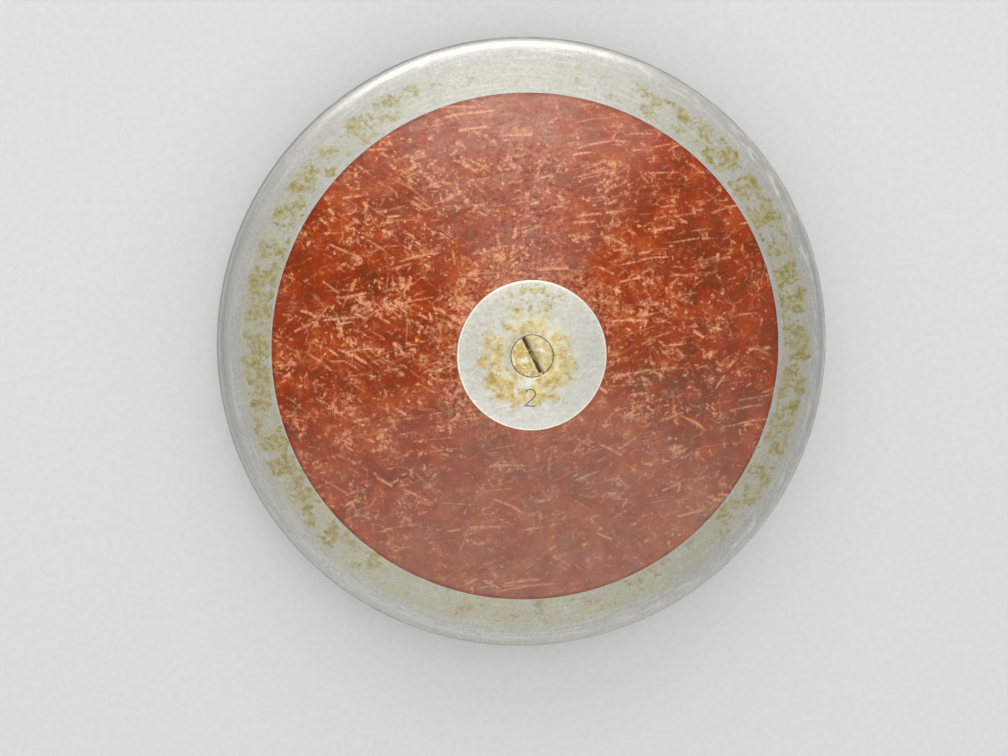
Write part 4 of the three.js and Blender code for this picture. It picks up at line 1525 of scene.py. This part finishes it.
class DISCUS_OT_centre_plates(bpy.types.Operator):
    """Make the two steel centre plates, with a numeral stamped in the front one"""

    bl_idname = "discus.centre_plates"
    bl_label = "Centre plates"

    sides = 240
    dish_steps = 10
    numeral_centre = Vector((-0.6, -14.3)) * MM
    numeral_lean = math.radians(-3)
    # The numeral's form, in shares of its height, with the bowl's angles in degrees.
    bowl_radius = 0.29
    bowl_start = 165
    bowl_sweep = 200
    bowl_steps = 14
    foot_reach = (-0.3, 0.34)
    # How wide the punch is at its top and at its tip, in shares of the stroke, and the least that
    # a corner's cosine counts, so that a sharp corner doesn't spread too far.
    punch_shares = (1.3, 0.5)
    sharpest_corner = 0.45

    def execute(self, context):
        """Builds both centre plates."""
        sizes = context.scene.discus_sizes
        group = bpy.data.node_groups["scratches"]
        material = passivated_zinc_plate(context.scene.discus_colours, group)
        for name, side in SIDES:
            mesh = turned_mesh(f"{name}_zinc_plate", self.outline(sizes), self.sides, side)
            piece = piece_from(mesh, material, "zinc_plated_plate", f"{name}_centre_plate")
            if side == 1:
                cut_away(piece, [self.numeral_tool(sizes)])
            shade(piece)
        return {"FINISHED"}

    def outline(self, sizes):
        """Section of a plate, with the countersink for its screw."""
        sink = HEAD_RADIUS + sizes.head_clearance
        land_bottom = HEAD_TOP - sizes.head_land
        worn = sizes.plate_chamfer / 3
        dish = []
        for step in range(self.dish_steps + 1):
            share = step / self.dish_steps
            dish.append((sink + sizes.dish_width * (1 - share), PLATE_TOP - sizes.dish_depth * share ** 2, 0))
        corners = [
            (sink - (land_bottom - PLATE_UNDERSIDE), PLATE_UNDERSIDE, 0),
            (PLATE_RADIUS, PLATE_UNDERSIDE, 0),
            (PLATE_RADIUS, PLATE_TOP - sizes.plate_chamfer, worn),
            (PLATE_RADIUS - sizes.plate_chamfer, PLATE_TOP, worn),
            *dish,
            (sink, land_bottom, 0),
        ]
        return rounded_outline(corners)

    def numeral_path(self):
        """A plain 2, one unit high, as a bowl, a diagonal and a foot."""
        path = []
        for step in range(self.bowl_steps + 1):
            angle = math.radians(self.bowl_start - step * self.bowl_sweep / self.bowl_steps)
            across = self.bowl_radius * math.cos(angle)
            path.append(Vector((across, 1 - self.bowl_radius + self.bowl_radius * math.sin(angle))))
        return path + [Vector((across, 0)) for across in self.foot_reach]

    def numeral_tool(self, sizes):
        """A punch in the shape of the numeral, narrower at its tip than at the plate's face."""
        path = self.numeral_path()
        forward = [(ahead - here).normalized() for here, ahead in zip(path, path[1:])]
        forward.append(forward[-1])
        sideways = []
        for index, direction in enumerate(forward):
            before = forward[max(index - 1, 0)]
            bisector = (before + direction).normalized()
            widened = 1 / max(bisector.dot(direction), self.sharpest_corner)
            sideways.append(Vector((-bisector.y, bisector.x)) * widened)
        rings = []
        for height, share in zip((sizes.numeral_depth, -sizes.numeral_depth), self.punch_shares):
            half_stroke = sizes.numeral_stroke / 2 * share / sizes.numeral_height
            left_side = [point + side * half_stroke for point, side in zip(path, sideways)]
            right_side = [point - side * half_stroke for point, side in zip(path, sideways)]
            rings.append([self.placed(sizes, point, height) for point in left_side + right_side[::-1]])
        return lofted_mesh("numeral_punch", rings)

    def placed(self, sizes, point, height):
        """A point of the numeral, moved to its place on the front plate."""
        upright = Vector((point.x, point.y - 0.5)) * sizes.numeral_height
        leaning = Matrix.Rotation(self.numeral_lean, 2) @ upright + self.numeral_centre
        return leaning.x, leaning.y, MIDDLE_HEIGHT + PLATE_TOP + height


class DISCUS_OT_centre_screws(bpy.types.Operator):
    """Make the two countersunk screws with their worn slots"""

    bl_idname = "discus.centre_screws"
    bl_label = "Centre screws"

    sides = 128
    tip_chamfer = 0.8 * MM
    head_round = 0.15 * MM
    slot_angles = {"front": math.radians(116.6), "rear": math.radians(38)}
    slot_stations = 28
    slot_floor_points = 7
    slot_wear_share = 0.5
    # How far the slot's floor curves up at its sides, as a share of its depth.
    slot_floor_share = 0.35
    wear_size = 1.6 * MM
    # The worn lip's least width and what wear adds to it, in shares of the slot's bevel.
    bevel_least = 0.7
    bevel_added = 0.6
    bevel_drop = 0.45 * MM

    def execute(self, context):
        """Builds both screws."""
        sizes = context.scene.discus_sizes
        group = bpy.data.node_groups["scratches"]
        material = yellow_zinc_screw(context.scene.discus_colours, group)
        for name, side in SIDES:
            mesh = turned_mesh(f"{name}_slotted_screw", self.outline(sizes), self.sides, side)
            piece = piece_from(mesh, material, "yellow_zinc_screw", f"{name}_centre_screw")
            cut_away(piece, [self.slot_tool(sizes, side, self.slot_angles[name])])
            shade(piece)
        return {"FINISHED"}

    def outline(self, sizes):
        """Section of a screw: shank, 90 degree cone and head."""
        land_bottom = HEAD_TOP - sizes.head_land
        cone_bottom = land_bottom - (HEAD_RADIUS - sizes.thread_radius)
        return rounded_outline([
            (0, SCREW_TIP, 0),
            (sizes.thread_radius - self.tip_chamfer, SCREW_TIP, 0),
            (sizes.thread_radius, SCREW_TIP + self.tip_chamfer, 0),
            (sizes.thread_radius, cone_bottom, 0),
            (HEAD_RADIUS, land_bottom, 0),
            (HEAD_RADIUS, HEAD_TOP, self.head_round),
            (0, HEAD_TOP, 0),
        ])

    def slot_tool(self, sizes, side, angle):
        """The slot as a solid: a round-bottomed groove that drivers have chewed wider in places."""
        reach = HEAD_RADIUS + sizes.head_clearance
        rings = []
        for station in range(self.slot_stations + 1):
            along = reach * (2 * station / self.slot_stations - 1)
            wear_noise = 0.5 + 0.5 * noise.noise(Vector((along / self.wear_size, side, 0)))
            wear = 1 + self.slot_wear_share * (wear_noise - 0.5)
            half = sizes.slot_width / 2 * wear
            bevel = sizes.slot_bevel * (self.bevel_least + self.bevel_added * wear_noise)
            section = [(half, sizes.slot_depth), (half, 0)]
            for step in range(self.slot_floor_points):
                turn = math.pi * step / (self.slot_floor_points - 1)
                floor_rise = self.slot_floor_share * sizes.slot_depth * (1 - math.sin(turn))
                section.append((half * math.cos(turn), floor_rise - sizes.slot_depth))
            section += [(-half, -self.bevel_drop), (-half - bevel, 0), (-half - bevel, sizes.slot_depth)]
            ring = []
            for across, height in section:
                x = along * math.cos(angle) - across * math.sin(angle)
                y = along * math.sin(angle) + across * math.cos(angle)
                ring.append((x, y, MIDDLE_HEIGHT + side * (HEAD_TOP + height)))
            rings.append(ring)
        return lofted_mesh("slot_tool", rings)


class DISCUS_OT_inner_parts(bpy.types.Operator):
    """Give the sleeve, the trim washers and the dowels their finishes"""

    bl_idname = "discus.inner_parts"
    bl_label = "Inner parts"

    steel_nodes = ("centre_sleeve", "front_trim_washer", "rear_trim_washer")

    def execute(self, context):
        """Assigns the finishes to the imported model's own pieces."""
        colours = context.scene.discus_colours
        steel = turned_steel(colours)
        beech = bare_beech(colours)
        for name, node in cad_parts.items():
            if name.startswith("dowel"):
                self.finish_node(node, beech)
            elif name in self.steel_nodes:
                self.finish_node(node, steel)
        return {"FINISHED"}

    def finish_node(self, node, material):
        """Puts one material on all of a node."""
        if not node.material_slots:
            node.data.materials.append(material)
        for slot in node.material_slots:
            slot.material = material


OPERATORS = (
    DISCUS_OT_stage,
    DISCUS_OT_rim,
    DISCUS_OT_wood_sides,
    DISCUS_OT_centre_plates,
    DISCUS_OT_centre_screws,
    DISCUS_OT_inner_parts,
)


class DISCUS_PT_panel(bpy.types.Panel):
    """Lists the discus's steps, sizes and colours."""

    bl_label = "Discus"
    bl_idname = "DISCUS_PT_panel"
    bl_space_type = "VIEW_3D"
    bl_region_type = "UI"
    bl_category = "Discus"

    def draw(self, context):
        """Draws the operators' buttons and the properties."""
        for operator in OPERATORS:
            self.layout.operator(operator.bl_idname)
        for settings in (context.scene.discus_sizes, context.scene.discus_colours):
            box = self.layout.box()
            for name in settings.bl_rna.properties.keys():
                if name not in ("rna_type", "name"):
                    box.prop(settings, name)


CLASSES = (DiscusSizes, DiscusColours, *OPERATORS, DISCUS_PT_panel)


def register():
    """Registers the classes and their settings."""
    for cls in CLASSES:
        bpy.utils.register_class(cls)
    bpy.types.Scene.discus_sizes = bpy.props.PointerProperty(type=DiscusSizes)
    bpy.types.Scene.discus_colours = bpy.props.PointerProperty(type=DiscusColours)


def unregister():
    """Removes the classes and their settings."""
    del bpy.types.Scene.discus_colours
    del bpy.types.Scene.discus_sizes
    for cls in reversed(CLASSES):
        bpy.utils.unregister_class(cls)


def main():
    """Makes the discus on its stage."""
    register()
    scratch_group()
    for operator in ("stage", "rim", "wood_sides", "centre_plates", "centre_screws", "inner_parts"):
        getattr(bpy.ops.discus, operator)()


if __name__ == "__main__":
    main()
